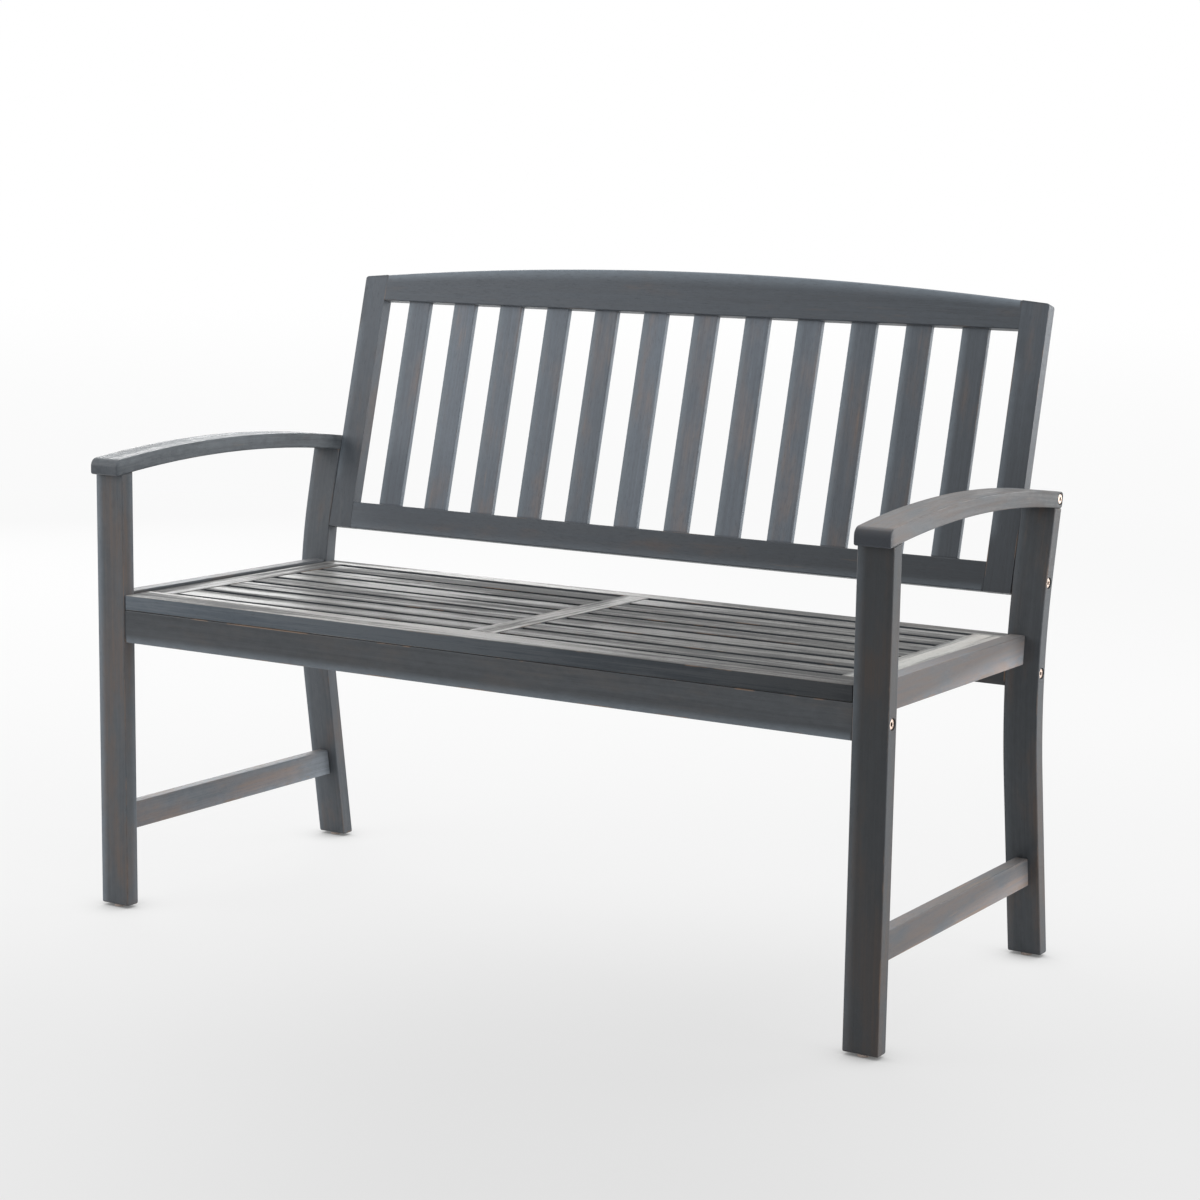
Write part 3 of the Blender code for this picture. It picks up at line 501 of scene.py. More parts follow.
    def _light(self, recipe: Recipe, *layers: Socket) -> Socket:
        """Return how much pale film lies on the wood, from 0 to 1.

        Args:
            recipe: The material's nodes.
            layers: The broad, band, fibre and cloud noise.

        Returns:
            The film.
        """
        shares = (self.banding, self.band_share, self.fibre_share, self.cloud_share)
        total = 0.0
        for layer, share in zip(layers, shares):
            total = recipe.line(layer, share, total)
        middle = (sum(shares) + self.cloud_share * self.mottling) / 2
        spread = self.light_spread / self.streaks
        return recipe.ramp(total, middle - spread, middle + spread)

    def _bare(self, recipe: Recipe, band: Socket, cloud: Socket, warmth: Socket) -> Socket:
        """Return how far the brown wood shows through the stain, from 0 to 1."""
        patch = recipe.ramp(recipe.line(warmth, self.warmth_weight, cloud), *self.bare_patch)
        streak = recipe.ramp(band, *self.bare_streak, self.bare_between, 1.0)
        return recipe.times(recipe.times(patch, streak), self.bareness)

    def _ruddy(self, recipe: Recipe, place: Socket, arris: Socket) -> Socket:
        """Return how far single streaks of a face are rubbed down to ruddy wood, from 0 to 1."""
        streak = recipe.ramp(recipe.noise(place, RUDDY_STREAK), *self.ruddy_streak)
        where = recipe.ramp(recipe.noise(place, RUDDY_PLACE), *self.ruddy_place)
        inside = recipe.ramp(arris, *self.ruddy_inset)
        return recipe.times(recipe.times(recipe.times(streak, where), inside), self.rubbing)

    def _edges(self, recipe: Recipe, grain: Socket) -> tuple[Socket, Socket, Socket]:
        """Return the distances to the nearest arris and end, and how far a point is on a narrow side."""
        depth = recipe.vector("SUBTRACT", recipe.attribute("half"), recipe.vector("ABSOLUTE", grain))
        along, across, through = recipe.split(depth)
        total = recipe.math("ADD", recipe.math("ADD", along, across), through)
        deepest = recipe.math("MAXIMUM", recipe.math("MAXIMUM", along, across), through)
        side = recipe.times(recipe.ramp(across, self.side_across, 0.0),
                            recipe.ramp(through, 0.0, self.side_through))
        return recipe.math("SUBTRACT", total, deepest), along, side

    def _veil(self, recipe: Recipe, grain: Socket, end: Socket, side: Socket, mottle: Socket) -> Socket:
        """Return how thick the painted glow of light lies along one long edge and the side behind it.

        Args:
            recipe: The material's nodes.
            grain: The point's place in the board.
            end: Its distance from the nearer end.
            side: How far it is on a narrow side, from 0 to 1.
            mottle: Fine noise from 0 to 1.

        Returns:
            The painted glow, from 0 to 1.
        """
        mist, margin, rear_mist = recipe.split(recipe.attribute("veil"))
        _, across, through = recipe.split(grain)
        _, half_across, half_through = recipe.split(recipe.attribute("half"))
        toward = recipe.times(across, recipe.math("SIGN", mist))
        face = recipe.ramp(recipe.math("SUBTRACT", half_across, toward), self.mist_reach, 0.0)
        behind = recipe.ramp(recipe.math("SUBTRACT", half_through, through), self.mist_reach, 0.0)
        face = recipe.times(face, recipe.math("ABSOLUTE", mist))
        behind = recipe.times(recipe.times(behind, side), rear_mist)
        total = recipe.times(recipe.math("MAXIMUM", face, behind), recipe.line(mottle, *self.mist_line))
        return recipe.times(total, recipe.ramp(end, margin, recipe.times(margin, self.mist_fade)))

    def _worn(self, recipe: Recipe, place: Socket, arris: Socket) -> Socket:
        """Return how far the stain is rubbed off along the arrises, from 0 to 1."""
        edge = recipe.ramp(arris, self.wear_reach, self.wear_reach * self.wear_core)
        where = recipe.ramp(recipe.noise(place, WEAR_PLACE), self.wear_start,
                            self.wear_start + self.wear_fade)
        return recipe.times(recipe.times(edge, where), self.edge_wear)


@dataclass(frozen=True)
class CopperedMetal:
    """Coppered steel of the bolts, with the hexagon sockets painted dark as shade, flecked with a dull bloom.
    """

    slot: Slot = Slot.BOLT
    bright: Colour = (0.75, 0.63, 0.56)
    dull: Colour = (0.56, 0.41, 0.32)
    # Painted shade inside the hexagon socket
    socket: Colour = (0.045, 0.028, 0.018)
    mottle: Pattern = Pattern((420.0, 420.0, 420.0), 4.0, 0.6)
    scratch: Pattern = Pattern((2600.0, 2600.0, 500.0), 2.0)
    speck: Pattern = Pattern((900.0, 900.0, 900.0))
    dull_span: Span = (0.35, 0.70)
    gloss_span: Span = (0.3, 0.7)
    roughness: Span = (0.34, 0.55)
    socket_roughness: Span = (0.6, 0.85)
    socket_bloom: float = 0.15
    socket_specular: float = 0.2
    relief: float = 0.25
    relief_depth: float = 0.0001

    def build(self) -> Material:
        """Return the plated face as a material."""
        recipe = Recipe(self.slot.value + "_finish")
        place = recipe.object_place()
        mottle = recipe.noise(place, self.mottle)
        colour = recipe.mix(recipe.ramp(mottle, *self.dull_span), self.bright, self.dull)
        recipe.paint(colour, recipe.ramp(mottle, *self.gloss_span, *self.roughness), Metallic=1.0)
        recipe.bump(recipe.noise(place, self.scratch), self.relief, self.relief_depth)
        return recipe.material

    def build_socket(self) -> Material:
        """Return the inside of the hexagon socket as a material, painted dark as shade."""
        recipe = Recipe(self.slot.value + "_socket")
        speck = recipe.noise(recipe.object_place(), self.speck)
        recipe.paint(recipe.mix(recipe.times(speck, self.socket_bloom), self.socket, self.dull),
                     recipe.ramp(speck, *self.gloss_span, *self.socket_roughness),
                     Specular_IOR_Level=self.socket_specular)
        return recipe.material


@dataclass(frozen=True)
class GlidePlastic:
    """Pinkish-brown moulded plastic of the glides, scuffed where it meets the floor."""

    slot: Slot = Slot.GLIDE
    clean: Colour = (0.42, 0.34, 0.30)
    scuffed: Colour = (0.25, 0.21, 0.18)
    mottle: Pattern = Pattern((300.0, 300.0, 300.0), 4.0, 0.6)
    scuff_height: float = 0.0016
    scuff_span: Span = (0.35, 0.6)
    gloss_span: Span = (0.3, 0.7)
    roughness: Span = (0.38, 0.55)
    relief: float = 0.2
    relief_depth: float = 0.0001

    def build(self) -> Material:
        """Return the plastic as a material."""
        recipe = Recipe(self.slot.value + "_finish")
        place = recipe.object_place()
        mottle = recipe.noise(place, self.mottle)
        low = recipe.ramp(recipe.split(place)[2], self.scuff_height, 0.0)
        scuff = recipe.times(low, recipe.ramp(mottle, *self.scuff_span))
        recipe.paint(recipe.mix(scuff, self.clean, self.scuffed),
                     recipe.ramp(mottle, *self.gloss_span, *self.roughness))
        recipe.bump(mottle, self.relief, self.relief_depth)
        return recipe.material


# The bench's shared curves

@dataclass(frozen=True)
class BenchShape:
    """Sizes and curves that several pieces share, in metres from the datum."""

    width: float = 1.220
    leg_width: float = 0.0477
    front_leg_depth: float = 0.0226
    rear_leg_thickness: float = 0.022
    rear_foot_distance: float = 0.5093
    lower_rake: float = math.radians(9.0)
    upper_rake: float = math.radians(12.4)
    knee_height: float = 0.392
    knee_radius: float = 0.760
    arm_thickness: float = 0.022
    arm_arc_radius: float = 2.090
    arm_crown_distance: float = 0.235
    arm_crown_height: float = 0.6285
    arm_front_overhang: float = 0.011
    arm_rear_overhang: float = 0.002
    seat_height: float = 0.4472
    seat_slope: float = math.radians(0.73)
    seat_setback: float = 0.002
    seat_thickness: float = 0.0203
    back_lean: float = math.radians(14.37)
    back_seat_gap: float = 0.0561
    back_setback: float = 0.0029
    back_thickness: float = 0.0194
    arm_bolt_rise: float = 0.0123
    settling_rounds: int = 12

    @property
    def outer_face(self) -> float:
        """Return the x of a leg frame's outer face."""
        return self.width / 2

    @property
    def inner_face(self) -> float:
        """Return the x of a leg frame's inner face."""
        return self.outer_face - self.leg_width

    @property
    def leg_middle(self) -> float:
        """Return the x of the middle of the legs."""
        return (self.outer_face + self.inner_face) / 2

    @property
    def datum(self) -> Matrix:
        """Return the datum's place in the row frame, read from a front leg of the model."""
        low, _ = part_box("front_leg_left")
        return Matrix.Translation((0.0, low.y, low.z))

    @property
    def seat_place(self) -> Matrix:
        """Return the place of the seat's frame, whose z = 0 is the top of its rails."""
        base = Matrix.Translation((0.0, self.seat_setback, self.seat_height))
        return self.datum @ base @ Matrix.Rotation(-self.seat_slope, 4, "X")

    @property
    def back_place(self) -> Matrix:
        """Return the place of the back's frame, with y through it and z up along it."""
        bolt = self.arm_bolt()
        half = self.back_thickness / 2
        front_y = bolt.x - half * math.cos(self.back_lean)
        front_z = bolt.y + half * math.sin(self.back_lean)
        height = self.seat_top(self.rear_foot_distance) + self.back_seat_gap
        base = Matrix.Translation((0.0, front_y - (front_z - height) * math.tan(self.back_lean), height))
        return self.datum @ base @ Matrix.Rotation(-self.back_lean, 4, "X")

    @property
    def knee_centre(self) -> Vector:
        """Return the centre (y, z) of the knee's arc."""
        apex_y = self.rear_foot_distance - self.knee_height * math.tan(self.lower_rake)
        lower = Vector((math.cos(self.lower_rake), math.sin(self.lower_rake)))
        upper = Vector((math.cos(self.upper_rake), -math.sin(self.upper_rake)))
        reach = self.knee_radius / (1.0 + lower.dot(upper))
        return Vector((apex_y, self.knee_height)) + (lower + upper) * reach

    @property
    def arm_centre(self) -> Vector:
        """Return the centre (y, z) of the armrest's arc."""
        return Vector((self.arm_crown_distance, self.arm_crown_height - self.arm_arc_radius))

    def knee_point(self, angle: float, offset: float) -> Vector:
        """Return the point (y, z) of the knee's arc at an angle, a depth into the leg."""
        radius = self.knee_radius - offset
        return self.knee_centre + Vector((-radius * math.cos(angle), radius * math.sin(angle)))

    def rear_leg_y(self, height: float, offset: float = 0.0) -> float:
        """Return how far back the rear leg's face lies.

        Args:
            height: The height above the datum.
            offset: The depth into the leg from its front face.

        Returns:
            The distance from the datum.
        """
        lower = self.knee_point(-self.lower_rake, offset)
        upper = self.knee_point(self.upper_rake, offset)
        if height < lower.y:
            return lower.x + (lower.y - height) * math.tan(self.lower_rake)
        if height > upper.y:
            return upper.x + (height - upper.y) * math.tan(self.upper_rake)
        centre = self.knee_centre
        return centre.x - math.sqrt((self.knee_radius - offset) ** 2 - (height - centre.y) ** 2)

    def rear_leg_middle(self, height: float) -> float:
        """Return the y of the middle of the rear leg at a height."""
        return (self.rear_leg_y(height) + self.rear_leg_y(height, self.rear_leg_thickness)) / 2

    def arm_underside(self, y: float) -> float:
        """Return the height of the armrest's underside at a depth y."""
        radius = self.arm_arc_radius
        return self.arm_centre.y + math.sqrt(radius ** 2 - (y - self.arm_crown_distance) ** 2)

    def rear_leg_top(self, offset: float) -> Vector:
        """Return the point (y, z) where a face of the rear leg meets the armrest."""
        height = self.arm_crown_height
        for _ in range(self.settling_rounds):
            height = self.arm_underside(self.rear_leg_y(height, offset))
        return Vector((self.rear_leg_y(height, offset), height))

    def seat_top(self, y: float) -> float:
        """Return the height of the top of the seat's rails at a depth y."""
        return self.seat_height - (y - self.seat_setback) * math.tan(self.seat_slope)

    def seat_underside(self, y: float) -> float:
        """Return the height of the underside of the seat's rails at a depth y."""
        return self.seat_top(y) - self.seat_thickness / math.cos(self.seat_slope)

    def arm_bolt(self) -> Vector:
        """Return the point (y, z) where the armrest's bolt crosses the middle of the back."""
        height = self.arm_crown_height
        for _ in range(self.settling_rounds):
            y = self.rear_leg_middle(height) + self.back_setback
            height = self.arm_underside(y) + self.arm_bolt_rise
        return Vector((self.rear_leg_middle(height) + self.back_setback, height))


# How the grain runs in a board

@dataclass(frozen=True)
class StraightGrain:
    """Grain that runs straight along one axis of a board."""

    low: Vector
    high: Vector

    @property
    def axes(self) -> list[int]:
        """Return the board's axes, from the longest to the shortest."""
        size = self.high - self.low
        return sorted(range(3), key=lambda axis: -size[axis])

    def run(self, point: Vector) -> Vector:
        """Return a point's place along, across and through the board."""
        middle = (self.low + self.high) / 2
        return Vector([point[axis] - middle[axis] for axis in self.axes])

    def reach(self, point: Vector) -> Vector:
        """Return the board's half sizes along, across and through it."""
        size = self.high - self.low
        return Vector([size[axis] / 2 for axis in self.axes])


@dataclass(frozen=True)
class ArchedGrain(StraightGrain):
    """Straight grain in a board whose upper edge is sawn to an arch."""

    top: Callable[[float], float]

    def reach(self, point: Vector) -> Vector:
        """Return the half sizes, with the arch's own height above the middle."""
        along, across, through = super().reach(point)
        middle = (self.low.z + self.high.z) / 2
        if point.z > middle:
            across = self.top(point.x) - middle
        return Vector((along, across, through))


@dataclass(frozen=True)
class BentGrain:
    """Grain that follows an arc, straight on beyond its two ends."""

    middle_x: float
    centre: Vector
    radius: float
    first: float
    last: float
    start: float
    half: Vector

    def run(self, point: Vector) -> Vector:
        """Return a point's place along, across and through the bent board.

        Args:
            point: A point (x, y, z), whose angle is measured from -y towards +z.

        Returns:
            The three distances, the first from the board's middle.
        """
        arm = Vector((point.y, point.z)) - self.centre
        angle = min(max(math.atan2(arm.y, -arm.x), self.first), self.last)
        outward = Vector((-math.cos(angle), math.sin(angle)))
        tangent = Vector((math.sin(angle), math.cos(angle)))
        along = self.radius * (angle - self.first) + arm.dot(tangent) - self.start
        return Vector((along, point.x - self.middle_x, arm.dot(outward) - self.radius))

    def reach(self, point: Vector) -> Vector:
        """Return the board's half sizes along, across and through it."""
        return self.half


Grain = Union[StraightGrain, BentGrain]


# Mesh making

def block(low: Vector, high: Vector) -> BMesh:
    """Return a box between two corners."""
    bm = bmesh.new()
    place = Matrix.Translation((low + high) / 2) @ Matrix.Diagonal((*(high - low), 1.0))
    bmesh.ops.create_cube(bm, size=1.0, matrix=place)
    bm.normal_update()
    return bm


def thicken(bm: BMesh, push: Vector) -> None:
    """Turn flat faces into a solid.

    Args:
        bm: The bmesh, which holds nothing but the flat faces.
        push: How far and which way they are extruded.
    """
    grown = bmesh.ops.extrude_face_region(bm, geom=bm.faces[:])
    moved = [item for item in grown["geom"] if isinstance(item, bmesh.types.BMVert)]
    bmesh.ops.translate(bm, verts=moved, vec=push)
    bmesh.ops.recalc_face_normals(bm, faces=bm.faces[:])
    bm.normal_update()


def plank(corners: Iterable[Vector], push: Vector) -> BMesh:
    """Return a board from the corners of one face and its thickness as a vector."""
    bm = bmesh.new()
    bm.faces.new([bm.verts.new(corner) for corner in corners])
    thicken(bm, push)
    return bm


def round_edges(bm: BMesh, radius: float, segments: int,
                chosen: Callable[[Vector, Vector, Vector], bool]) -> None:
    """Round the sharp edges that pass a test.

    Args:
        bm: The bmesh.
        radius: The radius, in metres.
        segments: How many steps the round has.
        chosen: A test of two face normals and the edge's middle, tried both ways round.
    """
    edges = []
    for edge in bm.edges:
        if len(edge.link_faces) != 2:
            continue
        first, second = (face.normal for face in edge.link_faces)
        if first.angle(second) < CORNER_ANGLE:
            continue
        middle = (edge.verts[0].co + edge.verts[1].co) / 2
        if chosen(first, second, middle) or chosen(second, first, middle):
            edges.append(edge)
    bmesh.ops.bevel(bm, geom=edges, offset=radius, offset_type="OFFSET", segments=segments, profile=0.5,
                    affect="EDGES", clamp_overlap=True, material=-1)
    bm.normal_update()


def link_mesh(name: str, bm: BMesh, place: Matrix) -> Object:
    """Return a linked object whose mesh holds its place.

    Args:
        name: The object's name.
        bm: The bmesh, which is freed.
        place: Its place in the row frame.

    Returns:
        The object.
    """
    mesh = bpy.data.meshes.new(name)
    bm.to_mesh(mesh)
    bm.free()
    mesh.transform(place)
    item = bpy.data.objects.new(name, mesh)
    bpy.context.scene.collection.objects.link(item)
    return item


def cut_out(item: Object, cutters: Sequence[Object]) -> None:
    """Cut other objects' shapes out of an object for good, and remove them."""
    for cutter in cutters:
        step = item.modifiers.new(cutter.name, "BOOLEAN")
        step.operation = "DIFFERENCE"
        step.solver = "EXACT"
        step.object = cutter
    evaluated = item.evaluated_get(bpy.context.evaluated_depsgraph_get())
    cut = bpy.data.meshes.new_from_object(evaluated)
    item.modifiers.clear()
    item.data = cut
    for cutter in cutters:
        bpy.data.objects.remove(cutter, do_unlink=True)


def turned(profile: Iterable[tuple[float, float]], steps: int) -> BMesh:
    """Return a profile of (radius, z) turned about Z."""
    bm = bmesh.new()
    verts = [bm.verts.new((radius, 0.0, z)) for radius, z in profile]
    edges = [bm.edges.new(pair) for pair in zip(verts, verts[1:])]
    bmesh.ops.spin(bm, geom=verts + edges, cent=(0.0, 0.0, 0.0), axis=(0.0, 0.0, 1.0),
                   angle=2 * math.pi, steps=steps, use_merge=True)
    bmesh.ops.remove_doubles(bm, verts=bm.verts[:], dist=WELD)
    bmesh.ops.recalc_face_normals(bm, faces=bm.faces[:])
    bm.normal_update()
    return bm


def eased(radius: float, ease: float) -> list[tuple[float, float]]:
    """Return the profile of a disc's rounded lower rim, from its face to its side."""
    near, far = (ease * share for share in ROUND_SHARES)
    return [(radius - ease, 0.0), (radius - far, near), (radius - near, far), (radius, ease)]


def hand_over(item: Object, node: str, slot: Slot, *materials: Material) -> None:
    """Let a finished piece stand for a node of the model.

    Args:
        item: The piece, which is shaded flat on its faces, smooth over its rounds and sharp at its corners.
        node: The node.
        slot: Not used.
        materials: Its materials.
    """
    for material in materials:
        item.data.materials.append(material)
    item.data.shade_smooth()
    item.data.set_sharp_from_angle(angle=SHARP_ANGLE)
    weighted = item.modifiers.new("flat_faces", "WEIGHTED_NORMAL")
    weighted.keep_sharp = True
    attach(item, BODY)
    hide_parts(node)
    LOG.info("%s stands for %s, %d faces", item.name, node, len(item.data.polygons))


@dataclass
class Workshop:
    """Makes boards and counts them, so that no two have the same grain."""

    finishes: dict[Slot, Material]
    long_round: float = 0.0018
    long_steps: int = 3
    seat_round: float = 0.0009
    end_ease: float = 0.0005
    count: int = 0

    @staticmethod
    def dress(node: str) -> Dress:
        """Return how the stain of a node's board, and the light and shade painted on it, differ from the
        usual.
        """
        return next((dress for start, dress in DRESSES.items() if node.startswith(start)), Dress())

    def finish_board(self, node: str, bm: BMesh, place: Matrix, grain: Grain, slot: Slot,
                     bores: Sequence[Object] = ()) -> None:
        """Turn a bmesh into a finished board.

        Args:
            node: The node of the model that the board stands for.
            bm: The board, in the frame that carries it.
            place: That frame's place in the row frame.
            grain: How its grain runs.
            slot: The record's slot of its finish.
            bores: Cutters in the row frame.
        """
        item = link_mesh(node + "_board", bm, place)
        if bores:
            cut_out(item, bores)
        self._mark_grain(item.data, place.inverted(), grain, self.dress(node))
        item.data.materials.clear()
        hand_over(item, node, slot, self.finishes[slot])

    def straight_board(self, node: str, low: Vector, high: Vector, place: Matrix, slot: Slot,
                       bores: Sequence[Object] = ()) -> None:
        """Make a straight board with rounded arrises and eased ends.

        Args:
            node: The node of the model that the board stands for.
            low: Its low corner in the frame that carries it.
            high: Its high corner.
            place: That frame's place in the row frame.
            slot: The record's slot of its finish.
            bores: Cutters in the row frame.
        """
        bm = block(low, high)
        grain = StraightGrain(low, high)
        self.round_board(bm, grain.axes[0], self.seat_round if slot is Slot.SEAT else self.long_round)
        self.finish_board(node, bm, place, grain, slot, bores)

    def round_board(self, bm: BMesh, axis: int, radius: float) -> None:
        """Round a straight board's long arrises and ease its ends.

        Args:
            bm: The board.
            axis: The axis that it is longest along.
            radius: The radius of the long arrises.
        """
        round_edges(bm, radius, self.long_steps,
                    lambda first, second, _: abs(first[axis]) < ASIDE and abs(second[axis]) < ASIDE)
        round_edges(bm, self.end_ease, 1, lambda first, second, _: abs(first[axis]) > ENDWISE)

    def _mark_grain(self, mesh: bpy.types.Mesh, inverse: Matrix, grain: Grain, dress: Dress) -> None:
        """Write the attributes that the finish reads.

        Args:
            mesh: The board's mesh, in the row frame.
            inverse: The way back from the row frame to the board's own.
            grain: How its grain runs.
            dress: How its stain, and the light and shade painted on it, differ from the usual.
        """
        self.count += 1
        own = Vector([self.count * step % 1.0 for step in BOARD_STEPS])
        if dress.warmth is not None:
            own.z = dress.warmth
        points = [inverse @ vert.co for vert in mesh.vertices]
        runs = [grain.run(point) for point in points]
        reaches = [grain.reach(point) for point in points]
        tones_and_light = [self._lift(dress, run, reach) for run, reach in zip(runs, reaches)]
        self._write(mesh, "grain", runs)
        self._write(mesh, "half", reaches)
        self._write(mesh, "board", [own] * len(points))
        self._write(mesh, "dress", [Vector((tone_and_light, dress.end_shade, dress.end_reach)) for tone_and_light in tones_and_light])
        # Painted glow of light: its strength and edge, its margin at the ends, and its strength on the narrow
        # sides
        self._write(mesh, "veil", [Vector((dress.mist, dress.margin, dress.rear_mist))] * len(points))

    @staticmethod
    def _lift(dress: Dress, run: Vector, reach: Vector) -> float:
        """Return how many times paler than usual a board is at one of its corners, from its own tone and
        painted light and shade.

        Args:
            dress: How its stain, and the light and shade painted on it, differ from the usual.
            run: The corner's place along, across and through the board.
            reach: The board's half sizes.

        Returns:
            The factor.
        """
        share = (run.x / reach.x + 1.0) / 2
        tone_and_light = dress.low_lift + (dress.high_lift - dress.low_lift) * share
        # The narrow sides take painted light or shade on top of the board's own factor
        on_side = reach.y - abs(run.y) < reach.z - abs(run.z)
        return tone_and_light * dress.side_lift if on_side else tone_and_light

    @staticmethod
    def _write(mesh: bpy.types.Mesh, name: str, values: list[Vector]) -> None:
        """Write one vector for each point as a mesh attribute."""
        attribute = mesh.attributes.new(name, "FLOAT_VECTOR", "POINT")
        attribute.data.foreach_set("vector", [part for value in values for part in value])


# Bolts and glides

@dataclass(frozen=True)
class Bolt:
    """A bolt through a leg frame, with its barrel nut."""

    node: str
    side: Side
    nut_distance: float
    recess: float = 0.0015
    lean: float = 0.0
    head_radius: float = 0.0066
    head_thickness: float = 0.0035
    head_ease: float = 0.0009
    shank_radius: float = 0.003
    socket_flats: float = 0.005
    socket_depth: float = 0.0022
    play: float = 0.0009
    rim_ease: float = 0.0004
    tip_length: float = 0.0045
    tip_taper: float = 0.7
    nut_radius: float = 0.005
    nut_length: float = 0.014
    nut_breakout: float = 0.0195
    nut_ease: float = 0.0005
    slot_width: float = 0.0012
    slot_depth: float = 0.0012
    overshoot: float = 1.5
    clearance: float = 0.006
    steps: int = 48

    @property
    def place(self) -> Matrix:
        """Return the place of the middle of the head's face, with z into the wood."""
        low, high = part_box(self.node)
        middle = (low + high) / 2
        head_x = high.x if self.side is Side.RIGHT else low.x
        turn = Matrix.Rotation(-self.side.value * math.pi / 2, 4, "Y")
        tilt = Matrix.Rotation(-self.lean, 4, "X")
        return Matrix.Translation((head_x, middle.y, middle.z)) @ tilt @ turn

    @property
    def nut_depth(self) -> float:
        """Return how far behind the head's face the nut's middle lies."""
        return self.nut_distance - self.recess

    def build(self, plated: Material, socket: Material) -> None:
        """Build the bolt and its nut as one piece.

        Args:
            plated: The material of its outside.
            socket: The material inside its hexagon socket.
        """
        tip = self.nut_depth + self.tip_length
        bm = turned([
            *eased(self.head_radius, self.head_ease),
            (self.head_radius, self.head_thickness),
            (self.shank_radius, self.head_thickness),
            (self.shank_radius, tip - self.shank_radius / 4),
            (self.shank_radius * self.tip_taper, tip),
            (0.0, tip),
        ], self.steps)
        self._sink_socket(bm)
        end = self.nut_length / 2
        nut = self._nut_bmesh(self.nut_radius, -end, end)
        round_edges(nut, self.nut_ease, 2, lambda first, second, _: abs(first.y) > FACING)
        nut_item = link_mesh("nut", nut, Matrix.Identity(4))
        reach = self.nut_radius * self.overshoot
        groove = block(Vector((-reach, end - self.slot_depth, self.nut_depth - self.slot_width / 2)),
                       Vector((reach, end * self.overshoot, self.nut_depth + self.slot_width / 2)))
        cut_out(nut_item, [link_mesh("nut_slot", groove, Matrix.Identity(4))])
        bm.from_mesh(nut_item.data)
        bpy.data.objects.remove(nut_item, do_unlink=True)
        hand_over(link_mesh(self.node + "_metal", bm, self.place), self.node, Slot.BOLT, plated, socket)

    def _sink_socket(self, bm: BMesh) -> None:
        """Close the head's open face round a hexagon socket."""
        rim = [edge for edge in bm.edges if edge.is_boundary]
        hexagon = bmesh.ops.create_circle(bm, cap_ends=False, segments=6,
                                          radius=self.socket_flats / math.sqrt(3))["verts"]
        sides = list({edge for vert in hexagon for edge in vert.link_edges})
        bmesh.ops.subdivide_edges(bm, edges=sides, cuts=self.steps // 6 - 1)
        loop = [edge for edge in bm.edges if not edge.link_faces]
        bmesh.ops.bridge_loops(bm, edges=rim + loop)
        grown = bmesh.ops.extrude_edge_only(bm, edges=loop)["geom"]
        moved = [item for item in grown if isinstance(item, bmesh.types.BMVert)]
        bmesh.ops.translate(bm, verts=moved, vec=(0.0, 0.0, self.socket_depth))
        walls = [item for item in grown if isinstance(item, bmesh.types.BMFace)]
        floor_edges = [item for item in grown if isinstance(item, bmesh.types.BMEdge) and item.is_boundary]
        floor = bmesh.ops.contextual_create(bm, geom=floor_edges)["faces"]
        for face in walls + floor:
            face.material_index = 1
        bmesh.ops.recalc_face_normals(bm, faces=bm.faces[:])
        bm.normal_update()

    def _nut_bmesh(self, radius: float, low: float, high: float) -> BMesh:
        """Return a round bar along Y at the nut's depth.

        Args:
            radius: Its radius.
            low: The y of its front end.
            high: The y of its rear end.

        Returns:
            The bar.
        """
        bm = bmesh.new()
        place = Matrix.Translation((0.0, (low + high) / 2, self.nut_depth))
        bmesh.ops.create_cone(bm, cap_ends=True, segments=self.steps, radius1=radius, radius2=radius,
                              depth=high - low, matrix=place @ Matrix.Rotation(math.pi / 2, 4, "X"))
        bm.normal_update()
        return bm

    def drill(self) -> Object:
        """Return a cutter for the counterbore, its eased rim and the shank's hole."""
        bore = self.head_radius + self.play
        rim = bore + self.rim_ease * 2
        shank = self.shank_radius + FIT
        out = -self.recess
        floor = self.head_thickness + FIT
        tip = self.nut_depth + self.tip_length + FIT
        bm = turned([
            (0.0, out - self.clearance),
            (rim, out - self.clearance),
            (rim, out - self.rim_ease),
            (bore, out + self.rim_ease),
            (bore, floor),
            (shank, floor),
            (shank, tip),
            (0.0, tip),
        ], self.steps)
        return link_mesh("drill_" + self.node, bm, self.place)

    def nut_drill(self) -> Object:
        """Return a cutter for the barrel nut's hole, which is open at the back."""
        bm = self._nut_bmesh(self.nut_radius + FIT, -self.nut_length / 2 - FIT, self.nut_breakout)
        return link_mesh("nut_drill_" + self.node, bm, self.place)


@dataclass(frozen=True)
class Glide:
    """A round glide with its pin, under a leg."""

    node: str
    radius: float = 0.008
    height: float = 0.0037
    ease: float = 0.0011
    pin_radius: float = 0.0015
    steps: int = 48

    def build(self, plastic: Material) -> None:
        """Build the glide.

        Args:
            plastic: Its material.
        """
        low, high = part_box(self.node)
        middle = (low + high) / 2
        bm = turned([
            (0.0, 0.0),
            *eased(self.radius, self.ease),
            (self.radius, self.height - self.ease / 4),
            (self.radius - self.ease / 4, self.height),
            (self.pin_radius, self.height),
            (self.pin_radius, high.z - low.z),
            (0.0, high.z - low.z),
        ], self.steps)
        item = link_mesh(self.node + "_plastic", bm, Matrix.Translation((middle.x, middle.y, low.z)))
        hand_over(item, self.node, Slot.GLIDE, plastic)


